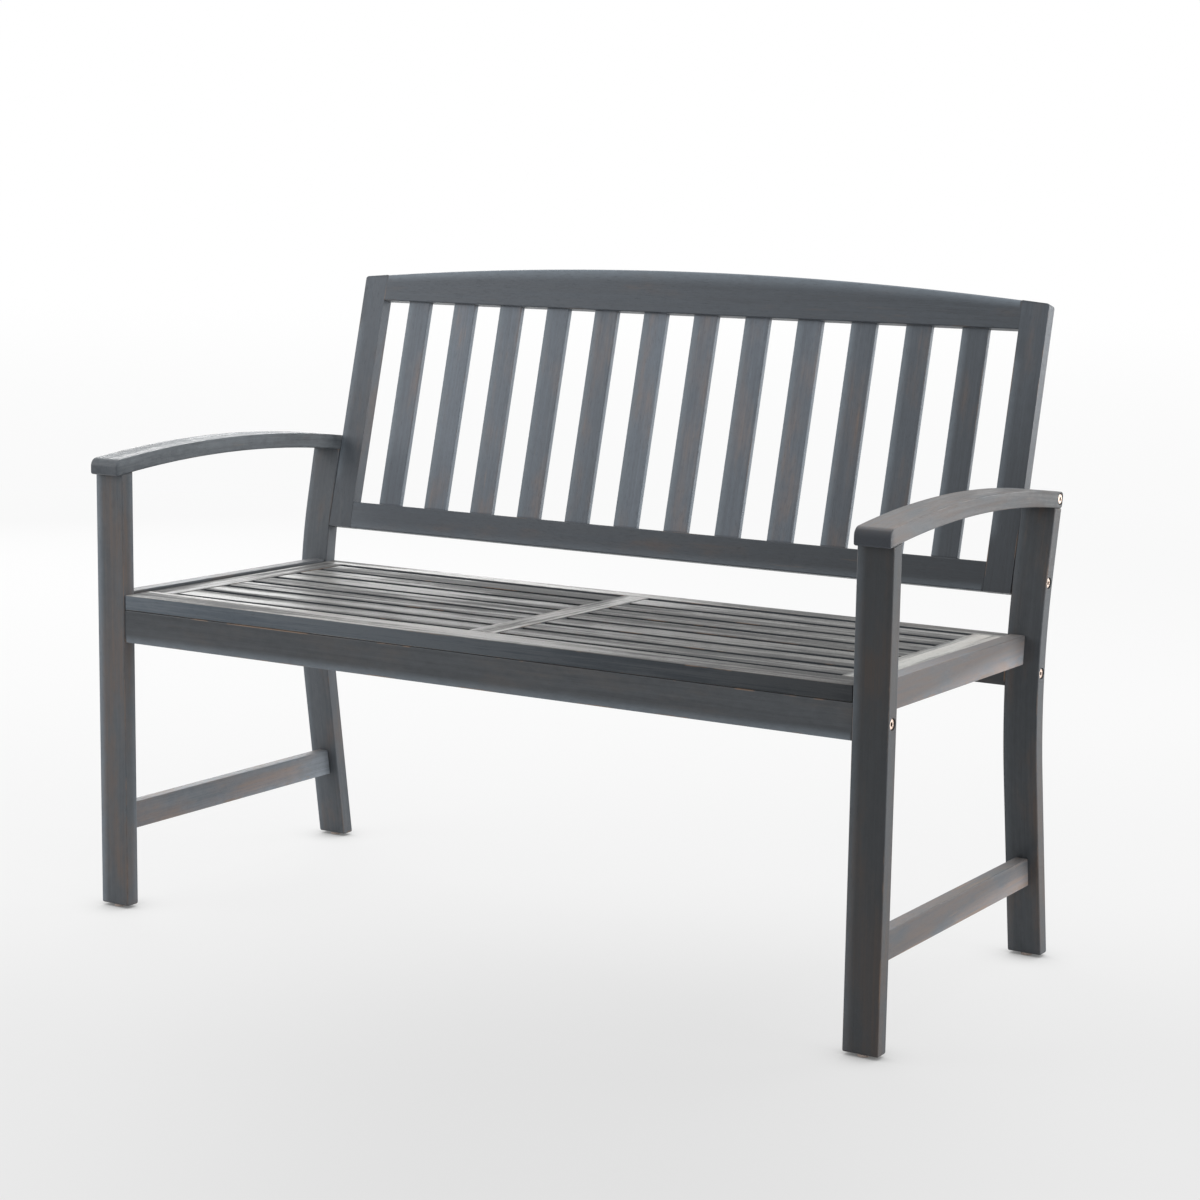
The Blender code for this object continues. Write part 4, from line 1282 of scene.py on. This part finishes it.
@dataclass(frozen=True)
class Fasteners:
    """The bench's bolts and glides."""

    shape: BenchShape
    apron_nut_distance: float = 0.0777
    stile_nut_distance: float = 0.06815
    arm_recess: float = 0.0005
    plated: CopperedMetal = CopperedMetal()
    plastic: GlidePlastic = GlidePlastic()

    def bolt(self, kind: str, side: Side) -> Bolt:
        """Return one of the bench's bolts.

        Args:
            kind: front_apron, rear_apron, back or arm.
            side: The leg frame that it goes through.

        Returns:
            The bolt.
        """
        node = f"{kind}_bolt_{side.label}"
        if kind.endswith("apron"):
            return Bolt(node, side, self.apron_nut_distance)
        recess = self.arm_recess if kind == "arm" else Bolt.recess
        return Bolt(node, side, self.stile_nut_distance, recess, self.shape.back_lean)

    def cutters(self, kind: str, side: Side) -> list[Object]:
        """Return the cutters for one of the bolts and its nut."""
        bolt = self.bolt(kind, side)
        return [bolt.drill(), bolt.nut_drill()]

    def build(self) -> None:
        """Build every bolt and glide."""
        plated = self.plated.build()
        socket = self.plated.build_socket()
        plastic = self.plastic.build()
        for side in Side:
            for kind in ("front_apron", "rear_apron", "back", "arm"):
                self.bolt(kind, side).build(plated, socket)
            for end in ("front", "rear"):
                Glide(f"{end}_glide_{side.label}").build(plastic)


# Sub-assemblies

@dataclass(frozen=True)
class LegFrame:
    """One end of the bench: front leg, sabre rear leg, armrest, side apron and stretcher."""

    side: Side
    shape: BenchShape
    shop: Workshop
    fasteners: Fasteners
    foot_round: float = 0.003
    foot_steps: int = 4
    knee_steps: int = 20
    arm_steps: int = 24
    nose_top_round: float = 0.010
    nose_top_steps: int = 8
    nose_under_round: float = 0.004
    nose_under_steps: int = 5
    tail_round: float = 0.0055
    tail_steps: int = 6
    apron_inset: float = 0.0031
    apron_thickness: float = 0.0224
    apron_height: float = 0.0391
    apron_rise: float = 0.0032
    stretcher_thickness: float = 0.018
    stretcher_height: float = 0.0387
    stretcher_top: float = 0.1438

    @property
    def leg_x(self) -> float:
        """Return the x of the middle of the legs."""
        return self.side.value * self.shape.leg_middle

    @property
    def left_x(self) -> float:
        """Return the x of the legs' left faces."""
        return self.leg_x - self.shape.leg_width / 2

    @property
    def push(self) -> Vector:
        """Return the legs' width as a vector."""
        return Vector((self.shape.leg_width, 0.0, 0.0))

    def build(self) -> None:
        """Build the leg frame's five boards."""
        self.build_front_leg()
        self.build_rear_leg()
        self.build_armrest()
        self.build_rail("side_apron", self.apron_x(), self.apron_thickness, self.apron_top,
                        self.apron_height)
        self.build_rail("side_stretcher", self.leg_x, self.stretcher_thickness, self.stretcher_line,
                        self.stretcher_height)

    def name(self, piece: str) -> str:
        """Return the name of one of this side's nodes."""
        return f"{piece}_{self.side.label}"

    def apron_x(self) -> float:
        """Return the x of the middle of the side apron."""
        return self.side.value * (self.shape.inner_face + self.apron_inset + self.apron_thickness / 2)

    def apron_top(self, y: float) -> float:
        """Return the height of the side apron's top at a depth y."""
        return self.shape.seat_top(y) + self.apron_rise

    def stretcher_line(self, y: float) -> float:
        """Return the height of the stretcher's top at a depth y."""
        return self.stretcher_top - (y - self.shape.front_leg_depth) * math.tan(self.shape.seat_slope)

    def _round_rims(self, bm: BMesh) -> None:
        """Round the arrises along both side faces of a board."""
        round_edges(bm, self.shop.long_round, self.shop.long_steps,
                    lambda first, second, _: abs(first.x) > FACING and abs(second.x) < ASIDE)

    def build_front_leg(self) -> None:
        """Build the straight front leg."""
        shape = self.shape
        left_x = self.left_x
        depth = shape.front_leg_depth
        outline = ((0.0, 0.0), (depth, 0.0), (depth, shape.arm_underside(depth)),
                   (0.0, shape.arm_underside(0.0)))
        bm = plank([Vector((left_x, *point)) for point in outline], self.push)
        round_edges(bm, self.foot_round, self.foot_steps,
                    lambda first, second, _: first.z < -FACING and abs(second.y) > FACING)
        self._round_rims(bm)
        high = Vector((left_x + shape.leg_width, depth, shape.arm_underside(depth)))
        grain = StraightGrain(Vector((left_x, 0.0, 0.0)), high)
        bore = self.fasteners.bolt("front_apron", self.side).drill()
        self.shop.finish_board(self.name("front_leg"), bm, shape.datum, grain, Slot.LEG, [bore])

    def build_rear_leg(self) -> None:
        """Build the rear leg, bent at its knee."""
        shape = self.shape
        left_x = self.left_x
        bm = bmesh.new()
        offsets = (0.0, shape.rear_leg_thickness)
        pair = [bm.verts.new((left_x, *shape.knee_point(-shape.lower_rake, offset))) for offset in offsets]
        edge = bm.edges.new(pair)
        bmesh.ops.spin(bm, geom=[*pair, edge], cent=(left_x, *shape.knee_centre), axis=(-1.0, 0.0, 0.0),
                       angle=shape.lower_rake + shape.upper_rake, steps=self.knee_steps)
        foot = [(left_x, shape.rear_leg_y(0.0, offset), 0.0) for offset in offsets]
        head = [(left_x, *shape.rear_leg_top(offset)) for offset in offsets]
        self._extend(bm, foot, -1.0)
        self._extend(bm, head, 1.0)
        thicken(bm, self.push)
        round_edges(bm, self.foot_round, self.foot_steps,
                    lambda first, second, _: first.z < -FACING and abs(second.x) < ASIDE)
        self._round_rims(bm)
        radius = shape.knee_radius - shape.rear_leg_thickness / 2
        knee = radius * (shape.lower_rake + shape.upper_rake)
        lower = (shape.knee_point(-shape.lower_rake, 0.0) - Vector(foot[0][1:])).length
        upper = (shape.knee_point(shape.upper_rake, 0.0) - Vector(head[0][1:])).length
        half = Vector(((knee + lower + upper) / 2, shape.leg_width / 2, shape.rear_leg_thickness / 2))
        grain = BentGrain(self.leg_x, shape.knee_centre, radius, -shape.lower_rake, shape.upper_rake,
                          half.x - lower, half)
        bores = [self.fasteners.bolt(kind, self.side).drill() for kind in ("rear_apron", "back")]
        self.shop.finish_board(self.name("rear_leg"), bm, shape.datum, grain, Slot.LEG, bores)

    @staticmethod
    def _extend(bm: BMesh, ends: list[Point], way: float) -> None:
        """Carry a strip of faces on to a new end.

        Args:
            bm: The strip.
            ends: The new end's front and rear points.
            way: 1 for the strip's upper end, -1 for its lower end.
        """
        across = [edge for edge in bm.edges if edge.is_boundary and len(edge.verts[0].link_edges) == 2
                  and len(edge.verts[1].link_edges) == 2]
        last = max(across, key=lambda edge: way * (edge.verts[0].co.z + edge.verts[1].co.z))
        grown = bmesh.ops.extrude_edge_only(bm, edges=[last])["geom"]
        verts = sorted((item for item in grown if isinstance(item, bmesh.types.BMVert)),
                       key=lambda vert: vert.co.y)
        for vert, end in zip(verts, ends):
            vert.co = end

    def build_armrest(self) -> None:
        """Build the armrest, bent to an arc, with a rounded nose and tail."""
        shape = self.shape
        left_x = self.left_x
        centre = shape.arm_centre
        under = shape.arm_arc_radius
        top = under + shape.arm_thickness
        nose_y = -shape.arm_front_overhang
        tail_y = shape.rear_leg_top(shape.rear_leg_thickness).x + shape.arm_rear_overhang
        nose = math.asin((nose_y - centre.x) / under)
        tail = math.asin((tail_y - centre.x) / under)
        bm = bmesh.new()
        pair = [bm.verts.new((left_x, centre.x + radius * math.sin(nose), centre.y + radius * math.cos(nose)))
                for radius in (under, top)]
        edge = bm.edges.new(pair)
        bmesh.ops.spin(bm, geom=[*pair, edge], cent=(left_x, *centre), axis=(-1.0, 0.0, 0.0),
                       angle=tail - nose, steps=self.arm_steps)
        top_nose = math.asin((nose_y - centre.x) / top)
        pair[1].co = (left_x, nose_y, centre.y + top * math.cos(top_nose))
        thicken(bm, self.push)
        front = nose_y + self.foot_round
        back = tail_y - self.foot_round
        round_edges(bm, self.nose_top_round, self.nose_top_steps,
                    lambda first, second, middle: (first.y < -FACING and second.z > FACING
                                                   and middle.y < front))
        round_edges(bm, self.nose_under_round, self.nose_under_steps,
                    lambda first, second, middle: (first.y < -FACING and second.z < -FACING
                                                   and middle.y < front))
        round_edges(bm, self.tail_round, self.tail_steps,
                    lambda first, second, middle: (first.y > FACING and abs(second.x) < ASIDE
                                                   and middle.y > back))
        self._round_rims(bm)
        radius = (under + top) / 2
        half = Vector((radius * (tail - nose) / 2, shape.leg_width / 2, shape.arm_thickness / 2))
        quarter = math.pi / 2
        grain = BentGrain(self.leg_x, centre, radius, quarter + nose, quarter + tail, half.x, half)
        bore = self.fasteners.bolt("arm", self.side).drill()
        self.shop.finish_board(self.name("armrest"), bm, shape.datum, grain, Slot.ARM, [bore])

    def build_rail(self, piece: str, middle_x: float, thickness: float, top: Callable[[float], float],
                   height: float) -> None:
        """Build a rail that runs from the front leg to the rear leg.

        Args:
            piece: Its name without the side.
            middle_x: The x of its middle.
            thickness: Its thickness along X.
            top: Its top's height at a depth y.
            height: How high it is.
        """
        shape = self.shape
        start = shape.front_leg_depth + FIT
        high = top(shape.rear_leg_y(top(shape.rear_foot_distance)))
        left_x = middle_x - thickness / 2
        outline = ((start, top(start) - height), (start, top(start)), (shape.rear_leg_y(high) - FIT, high),
                   (shape.rear_leg_y(high - height) - FIT, high - height))
        corners = [Vector((left_x, *point)) for point in outline]
        bm = plank(corners, Vector((thickness, 0.0, 0.0)))
        self.shop.round_board(bm, 1, self.shop.long_round)
        far = Vector((left_x + thickness, max(corner.y for corner in corners), top(start)))
        self.shop.finish_board(self.name(piece), bm, shape.datum, StraightGrain(corners[0], far), Slot.LEG)


@dataclass(frozen=True)
class Aprons:
    """The boards under the seat's front and rear edges."""

    shape: BenchShape
    shop: Workshop
    fasteners: Fasteners
    thickness: float = 0.019
    height: float = 0.046

    def build(self) -> None:
        """Build both aprons between the legs."""
        rear_height = self.shape.seat_underside(self.shape.rear_foot_distance) - self.height / 2
        middles = {
            "front": self.shape.front_leg_depth / 2,
            "rear": self.shape.rear_leg_middle(rear_height),
        }
        half = self.shape.inner_face - FIT
        for end, middle_y in middles.items():
            back = middle_y + self.thickness / 2
            top = self.shape.seat_underside(back) - FIT
            low = Vector((-half, middle_y - self.thickness / 2, top - self.height))
            bores = [cutter for side in Side for cutter in self.fasteners.cutters(f"{end}_apron", side)]
            self.shop.straight_board(f"{end}_apron", low, Vector((half, back, top)), self.shape.datum,
                                     Slot.APRON, bores)


@dataclass(frozen=True)
class SeatPanel:
    """The seat: front, rear, end and centre rails round two rows of slats."""

    shape: BenchShape
    shop: Workshop
    side_gap: float = 0.0013
    rear_lap: float = 0.0195
    front_width: float = 0.0525
    rear_width: float = 0.031
    end_width: float = 0.0414
    centre_width: float = 0.0406
    slats: int = 7
    slat_gap: float = 0.0125
    slat_thickness: float = 0.019
    slat_drop: float = 0.0007

    def build(self) -> None:
        """Build the seat's rails and slats."""
        shape = self.shape
        rear_edge = shape.rear_leg_y(shape.seat_top(shape.rear_foot_distance)) + self.rear_lap
        depth = (rear_edge - shape.seat_setback) / math.cos(shape.seat_slope)
        half = shape.inner_face - self.side_gap
        rear_inner = depth - self.rear_width
        end_inner = half - self.end_width
        centre = self.centre_width / 2
        self._rail("seat_front_rail", (-half, half), (0.0, self.front_width))
        self._rail("seat_rear_rail", (-half, half), (rear_inner, depth))
        span = (self.front_width + FIT, rear_inner - FIT)
        self._rail("seat_centre_rail", (-centre, centre), span)
        self._rail("seat_end_rail_left", (-half, -end_inner), span)
        self._rail("seat_end_rail_right", (end_inner, half), span)
        for side in Side:
            edges = sorted((side.value * (centre + FIT), side.value * (end_inner - FIT)))
            self._slats(side, edges, rear_inner)

    def _rail(self, node: str, across: tuple[float, float], depths: tuple[float, float]) -> None:
        """Build a rail of the seat.

        Args:
            node: Its node.
            across: Its two ends or sides along X.
            depths: Its two ends or sides along Y.
        """
        low = Vector((across[0], depths[0], -self.shape.seat_thickness))
        high = Vector((across[1], depths[1], 0.0))
        self.shop.straight_board(node, low, high, self.shape.seat_place, Slot.SEAT)

    def _slats(self, side: Side, edges: list[float], rear_inner: float) -> None:
        """Build one side's row of slats.

        Args:
            side: The side of the centre rail that they are on.
            edges: The x of their two ends.
            rear_inner: The rear rail's front edge.
        """
        free = rear_inner - self.front_width - (self.slats + 1) * self.slat_gap
        width = free / self.slats
        for number in range(self.slats):
            front = self.front_width + self.slat_gap + number * (width + self.slat_gap)
            low = Vector((edges[0], front, -self.slat_drop - self.slat_thickness))
            high = Vector((edges[1], front + width, -self.slat_drop))
            self.shop.straight_board(f"seat_slat_{side.label}_{number + 1}", low, high,
                                     self.shape.seat_place, Slot.SEAT)


@dataclass(frozen=True)
class BackFrame:
    """The leaning back: stiles, bottom rail, arched crest rail and slats."""

    shape: BenchShape
    shop: Workshop
    fasteners: Fasteners
    side_gap: float = 0.0008
    stile_width: float = 0.0393
    bottom_width: float = 0.0399
    crest_underside: float = 0.3544
    crest_rise: float = 0.4164
    crest_sagitta: float = 0.0259
    crest_steps: int = 60
    rear_round: float = 0.007
    rear_steps: int = 7
    front_round: float = 0.0035
    front_steps: int = 5
    corner_round: float = 0.0035
    corner_steps: int = 4
    joint_ease: float = 0.0004
    slats: int = 12
    slat_width: float = 0.0388
    slat_thickness: float = 0.0097
    slat_lap: float = 0.0008

    @property
    def half_width(self) -> float:
        """Return the x of the stiles' outer faces."""
        return self.shape.inner_face - self.side_gap

    @property
    def stile_inner(self) -> float:
        """Return the x of the stiles' inner faces."""
        return self.half_width - self.stile_width

    @property
    def crest_radius(self) -> float:
        """Return the radius of the arched top."""
        return (self.half_width ** 2 + self.crest_sagitta ** 2) / (2 * self.crest_sagitta)

    @property
    def depth(self) -> float:
        """Return the thickness of the stiles and rails."""
        return self.shape.back_thickness

    def crest_top(self, x: float) -> float:
        """Return how far up the back the arched top lies at a distance x from the middle."""
        return self.crest_rise - self.crest_radius + math.sqrt(self.crest_radius ** 2 - x ** 2)

    def build(self) -> None:
        """Build the back's rails, stiles and slats."""
        half = self.stile_inner
        self.shop.straight_board("back_bottom_rail", Vector((-half, 0.0, 0.0)),
                                 Vector((half, self.depth, self.bottom_width)), self.shape.back_place,
                                 Slot.BACK)
        self.build_crest()
        for side in Side:
            self.build_stile(side)
        gap = (2 * self.stile_inner - self.slats * self.slat_width) / (self.slats + 1)
        front = (self.depth - self.slat_thickness) / 2
        for number in range(self.slats):
            left = -self.stile_inner + gap + number * (self.slat_width + gap)
            low = Vector((left, front, self.bottom_width - self.slat_lap))
            high = Vector((left + self.slat_width, front + self.slat_thickness,
                           self.crest_underside + self.slat_lap))
            self.shop.straight_board(f"back_slat_{number + 1:02d}", low, high, self.shape.back_place,
                                     Slot.BACK)

    def _round_crown(self, bm: BMesh) -> None:
        """Round the arched top, more at the back than at the front."""
        round_edges(bm, self.rear_round, self.rear_steps,
                    lambda first, second, _: first.y > FACING and second.z > UPWARD)
        round_edges(bm, self.front_round, self.front_steps,
                    lambda first, second, _: first.y < -FACING and second.z > UPWARD)

    def build_crest(self) -> None:
        """Build the crest rail, arched above and straight below."""
        half = self.stile_inner
        sweep = 2 * math.asin(half / self.crest_radius)
        bm = bmesh.new()
        first = bm.verts.new((-half, 0.0, self.crest_top(half)))
        centre = (0.0, 0.0, self.crest_rise - self.crest_radius)
        bmesh.ops.spin(bm, geom=[first], cent=centre, axis=(0.0, 1.0, 0.0), angle=sweep,
                       steps=self.crest_steps)
        grown = bmesh.ops.extrude_edge_only(bm, edges=bm.edges[:])["geom"]
        for item in grown:
            if isinstance(item, bmesh.types.BMVert):
                item.co.z = self.crest_underside
        thicken(bm, Vector((0.0, self.depth, 0.0)))
        self._round_crown(bm)
        round_edges(bm, self.shop.long_round, self.shop.long_steps,
                    lambda first, second, _: abs(first.y) > SQUARE and second.z < -FACING)
        low = Vector((-half, 0.0, self.crest_underside))
        high = Vector((half, self.depth, self.crest_top(half)))
        grain = ArchedGrain(low, high, self.crest_top)
        self.shop.finish_board("back_crest_rail", bm, self.shape.back_place, grain, Slot.BACK)

    def build_stile(self, side: Side) -> None:
        """Build a stile, cut to the crest's arch.

        Args:
            side: The side that it stands on.
        """
        inner = side.value * self.stile_inner
        outer = side.value * self.half_width
        outline = ((inner, 0.0), (outer, 0.0), (outer, self.crest_top(outer)), (inner, self.crest_top(inner)))
        bm = plank([Vector((x, 0.0, z)) for x, z in outline], Vector((0.0, self.depth, 0.0)))
        round_edges(bm, self.corner_round, self.corner_steps,
                    lambda first, second, _: first.z > UPWARD and second.x * side.value > FACING)
        self._round_crown(bm)
        round_edges(bm, self.shop.long_round, self.shop.long_steps,
                    lambda first, second, _: abs(first.y) > SQUARE and second.x * side.value > FACING)
        round_edges(bm, self.joint_ease, 1,
                    lambda first, second, _: abs(first.y) > SQUARE and second.x * side.value < -FACING)
        round_edges(bm, self.shop.end_ease, 1, lambda first, second, _: first.z < -FACING)
        low = Vector((min(inner, outer), 0.0, 0.0))
        high = Vector((max(inner, outer), self.depth, self.crest_top(outer)))
        bores = self.fasteners.cutters("back", side) + self.fasteners.cutters("arm", side)
        self.shop.finish_board(f"back_stile_{side.label}", bm, self.shape.back_place,
                               StraightGrain(low, high), Slot.BACK, bores)


# Studio

@dataclass(frozen=True)
class Lamp:
    """A soft rectangular lamp."""

    name: str
    place: Point
    aim: Point
    width: float
    height: float
    power: float

    def build(self) -> None:
        """Hang the lamp."""
        data = bpy.data.lights.new(self.name, "AREA")
        data.shape = "RECTANGLE"
        data.size = self.width
        data.size_y = self.height
        data.energy = self.power
        item = bpy.data.objects.new(self.name, data)
        item.location = self.place
        direction = Vector(self.aim) - Vector(self.place)
        item.rotation_euler = direction.to_track_quat("-Z", "Y").to_euler()
        item.visible_camera = False
        bpy.context.scene.collection.objects.link(item)


@dataclass(frozen=True)
class Studio:
    """A plain white studio: pale floor, white surroundings, soft lamps and the camera.

    The shades are how bright the floor looks from near to far, and the depths are where it turns from one
    to the next, in metres along the view. They are painted shade in the floor's glow: darker in front of
    the bench and round its feet, paler far away, and ambient occlusion paints more shade close under the
    legs.
    """

    floor_size: float = 60.0
    floor_colour: Colour = (0.90, 0.90, 0.90)
    floor_speck: Pattern = Pattern((40.0, 40.0, 40.0))
    speck_lift: float = 0.015
    floor_roughness: float = 0.8
    floor_specular: float = 0.1
    floor_glow: float = 0.90
    # Painted contact shadows: how far the ambient occlusion reaches, how dark it paints, and its samples
    contact_reach: float = 0.06
    contact_shade: float = 0.15
    contact_samples: int = 12
    depth_axis: Point = (-0.51, 0.86, 0.0)
    cross_axis: Point = (0.86, 0.51, 0.0)
    near_shade: float = 0.81
    front_shade: float = 0.74
    feet_shade: float = 0.905
    middle_shade: float = 0.948
    far_shade: float = 1.0
    cross_span: Span = (0.08, 0.70)
    near_depths: Span = (-0.68, 0.30)
    middle_depths: Span = (0.2, 1.8)
    far_depths: Span = (1.8, 18.0)
    glow_depths: Span = (1.5, 5.0)
    ambient: float = 0.50
    lens: float = 79.495
    sensor: float = 36.0
    camera_place: Point = (1.8932, -3.0582, 1.0381)
    yaw: float = 0.5454
    pitch: float = -0.1588
    roll: float = 0.0153
    lamps: tuple[Lamp, ...] = field(default_factory=lambda: (
        Lamp("overhead_softbox", (0.0, 0.1, 3.0), (0.0, 0.0, 0.4), 3.0, 2.4, 22.0),
        Lamp("side_softbox", (6.0, 0.2, 2.0), (0.0, 0.0, 0.5), 3.6, 3.0, 185.0),
        Lamp("front_softbox", (-1.9, -1.6, 1.4), (-0.5, 0.0, 0.5), 1.5, 1.4, 20.0),
        Lamp("rear_left_softbox", (-3.2, 2.8, 1.4), (0.0, 0.0, 0.5), 3.0, 2.2, 84.0),
        Lamp("rear_right_softbox", (2.6, 3.2, 1.2), (0.4, 0.0, 0.4), 2.2, 2.0, 58.0),
    ))

    def build(self) -> None:
        """Build the studio."""
        scene = bpy.context.scene
        scene.view_settings.view_transform = "Standard"
        self.build_world()
        self.build_floor()
        for lamp in self.lamps:
            lamp.build()
        self.build_camera()

    def build_world(self) -> None:
        """Light the bench evenly, and show white to the camera and in reflections."""
        world = bpy.data.worlds.new("studio_white")
        bpy.context.scene.world = world
        world.use_nodes = True
        nodes = Nodes(world.node_tree)
        lit = nodes.tree.nodes["Background"]
        nodes.feed(lit.inputs["Strength"], self.ambient)
        nodes.feed(lit.inputs["Color"], WHITE)
        seen = nodes.add("ShaderNodeBackground", {"Color": WHITE})
        path = nodes.add("ShaderNodeLightPath", {}).outputs
        either = nodes.math("MAXIMUM", path["Is Camera Ray"], path["Is Glossy Ray"])
        either = nodes.math("MAXIMUM", either, path["Is Transmission Ray"])
        nodes.show("World Output", either, lit, seen)

    def build_floor(self) -> None:
        """Lay the pale floor, which turns to white behind the bench and keeps its soft shadow, and whose glow
        to the camera carries painted shade and painted contact shadows.
        """
        bm = bmesh.new()
        bmesh.ops.create_grid(bm, x_segments=1, y_segments=1, size=self.floor_size / 2)
        floor = link_mesh("studio_floor", bm, Matrix.Identity(4))
        recipe = Recipe("studio_floor_finish")
        place = recipe.object_place()
        lifted = tuple(part + self.speck_lift for part in self.floor_colour)
        recipe.paint(recipe.mix(recipe.noise(place, self.floor_speck), self.floor_colour, lifted),
                     self.floor_roughness, Specular_IOR_Level=self.floor_specular)
        # Painted shade in the floor's glow, by depth along the view and distance across it
        depth = recipe.dot(place, self.depth_axis)
        across = recipe.math("ABSOLUTE", recipe.dot(place, self.cross_axis))
        near = recipe.ramp(across, *self.cross_span, self.front_shade, self.near_shade)
        shade = recipe.ramp(depth, *self.far_depths, self.middle_shade, self.far_shade)
        shade = recipe.ramp(depth, *self.middle_depths, self.feet_shade, shade)
        shade = recipe.ramp(depth, *self.near_depths, near, shade)
        # Painted contact shadows from ambient occlusion
        nearby = recipe.add("ShaderNodeAmbientOcclusion", {"Distance": self.contact_reach},
                            samples=self.contact_samples)
        contact = recipe.ramp(nearby.outputs["AO"], 0.0, 1.0, self.contact_shade, 1.0)
        glow = recipe.add("ShaderNodeEmission", {
            "Color": WHITE,
            "Strength": recipe.times(shade, contact),
        })
        seen = recipe.add("ShaderNodeLightPath", {}).outputs["Is Camera Ray"]
        away = recipe.ramp(depth, *self.glow_depths, self.floor_glow, 1.0)
        recipe.show("Material Output", recipe.times(away, seen), recipe.shader, glow)
        floor.data.materials.append(recipe.material)

    def build_camera(self) -> None:
        """Set the camera at the photograph's place and angle."""
        data = bpy.data.cameras.new("photo_camera")
        data.lens = self.lens
        data.sensor_width = self.sensor
        camera = bpy.data.objects.new("photo_camera", data)
        heading = Matrix.Rotation(self.yaw, 4, "Z")
        rise = Matrix.Rotation(math.pi / 2 + self.pitch, 4, "X")
        camera.matrix_world = (Matrix.Translation(self.camera_place) @ heading @ rise
                               @ Matrix.Rotation(self.roll, 4, "Z"))
        bpy.context.scene.collection.objects.link(camera)
        bpy.context.scene.camera = camera


def main() -> None:
    """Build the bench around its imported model, and the studio around the bench."""
    logging.basicConfig(level=logging.INFO, format="%(name)s: %(message)s")
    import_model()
    shape = BenchShape()
    woods = (
        StainedWood(Slot.LEG, streaks=0.7, mottling=1.4, bareness=0.6, wear_start=0.50,
                    roughness_low=0.48, roughness_high=0.66),
        StainedWood(Slot.ARM, deep=(0.035, 0.040, 0.045), film=(0.084, 0.093, 0.101), streaks=1.2,
                    mottling=1.5, bareness=0.5, roughness_low=0.38, roughness_high=0.66),
        # The seat's narrow sides take painted shade
        StainedWood(Slot.SEAT, deep=(0.030, 0.032, 0.033), film=(0.150, 0.149, 0.141), streaks=1.6,
                    banding=0.60, side_stain=0.95, bareness=0.3, roughness_low=0.84, roughness_high=0.44,
                    rubbing=0.2),
        StainedWood(Slot.BACK, deep=(0.028, 0.033, 0.040), film=(0.058, 0.067, 0.078), streaks=0.65,
                    mottling=1.2, bareness=0.45, rubbing=0.25),
        StainedWood(Slot.APRON, bare=(0.080, 0.066, 0.057), streaks=0.75, mottling=1.6, bareness=0.40,
                    rubbing=0.06, edge_wear=0.9, wear_start=0.51, wear_reach=0.0022),
    )
    shop = Workshop({wood.slot: wood.build() for wood in woods})
    fasteners = Fasteners(shape)
    for side in Side:
        LegFrame(side, shape, shop, fasteners).build()
    Aprons(shape, shop, fasteners).build()
    SeatPanel(shape, shop).build()
    BackFrame(shape, shop, fasteners).build()
    fasteners.build()
    Studio().build()


if __name__ == "__main__":
    main()
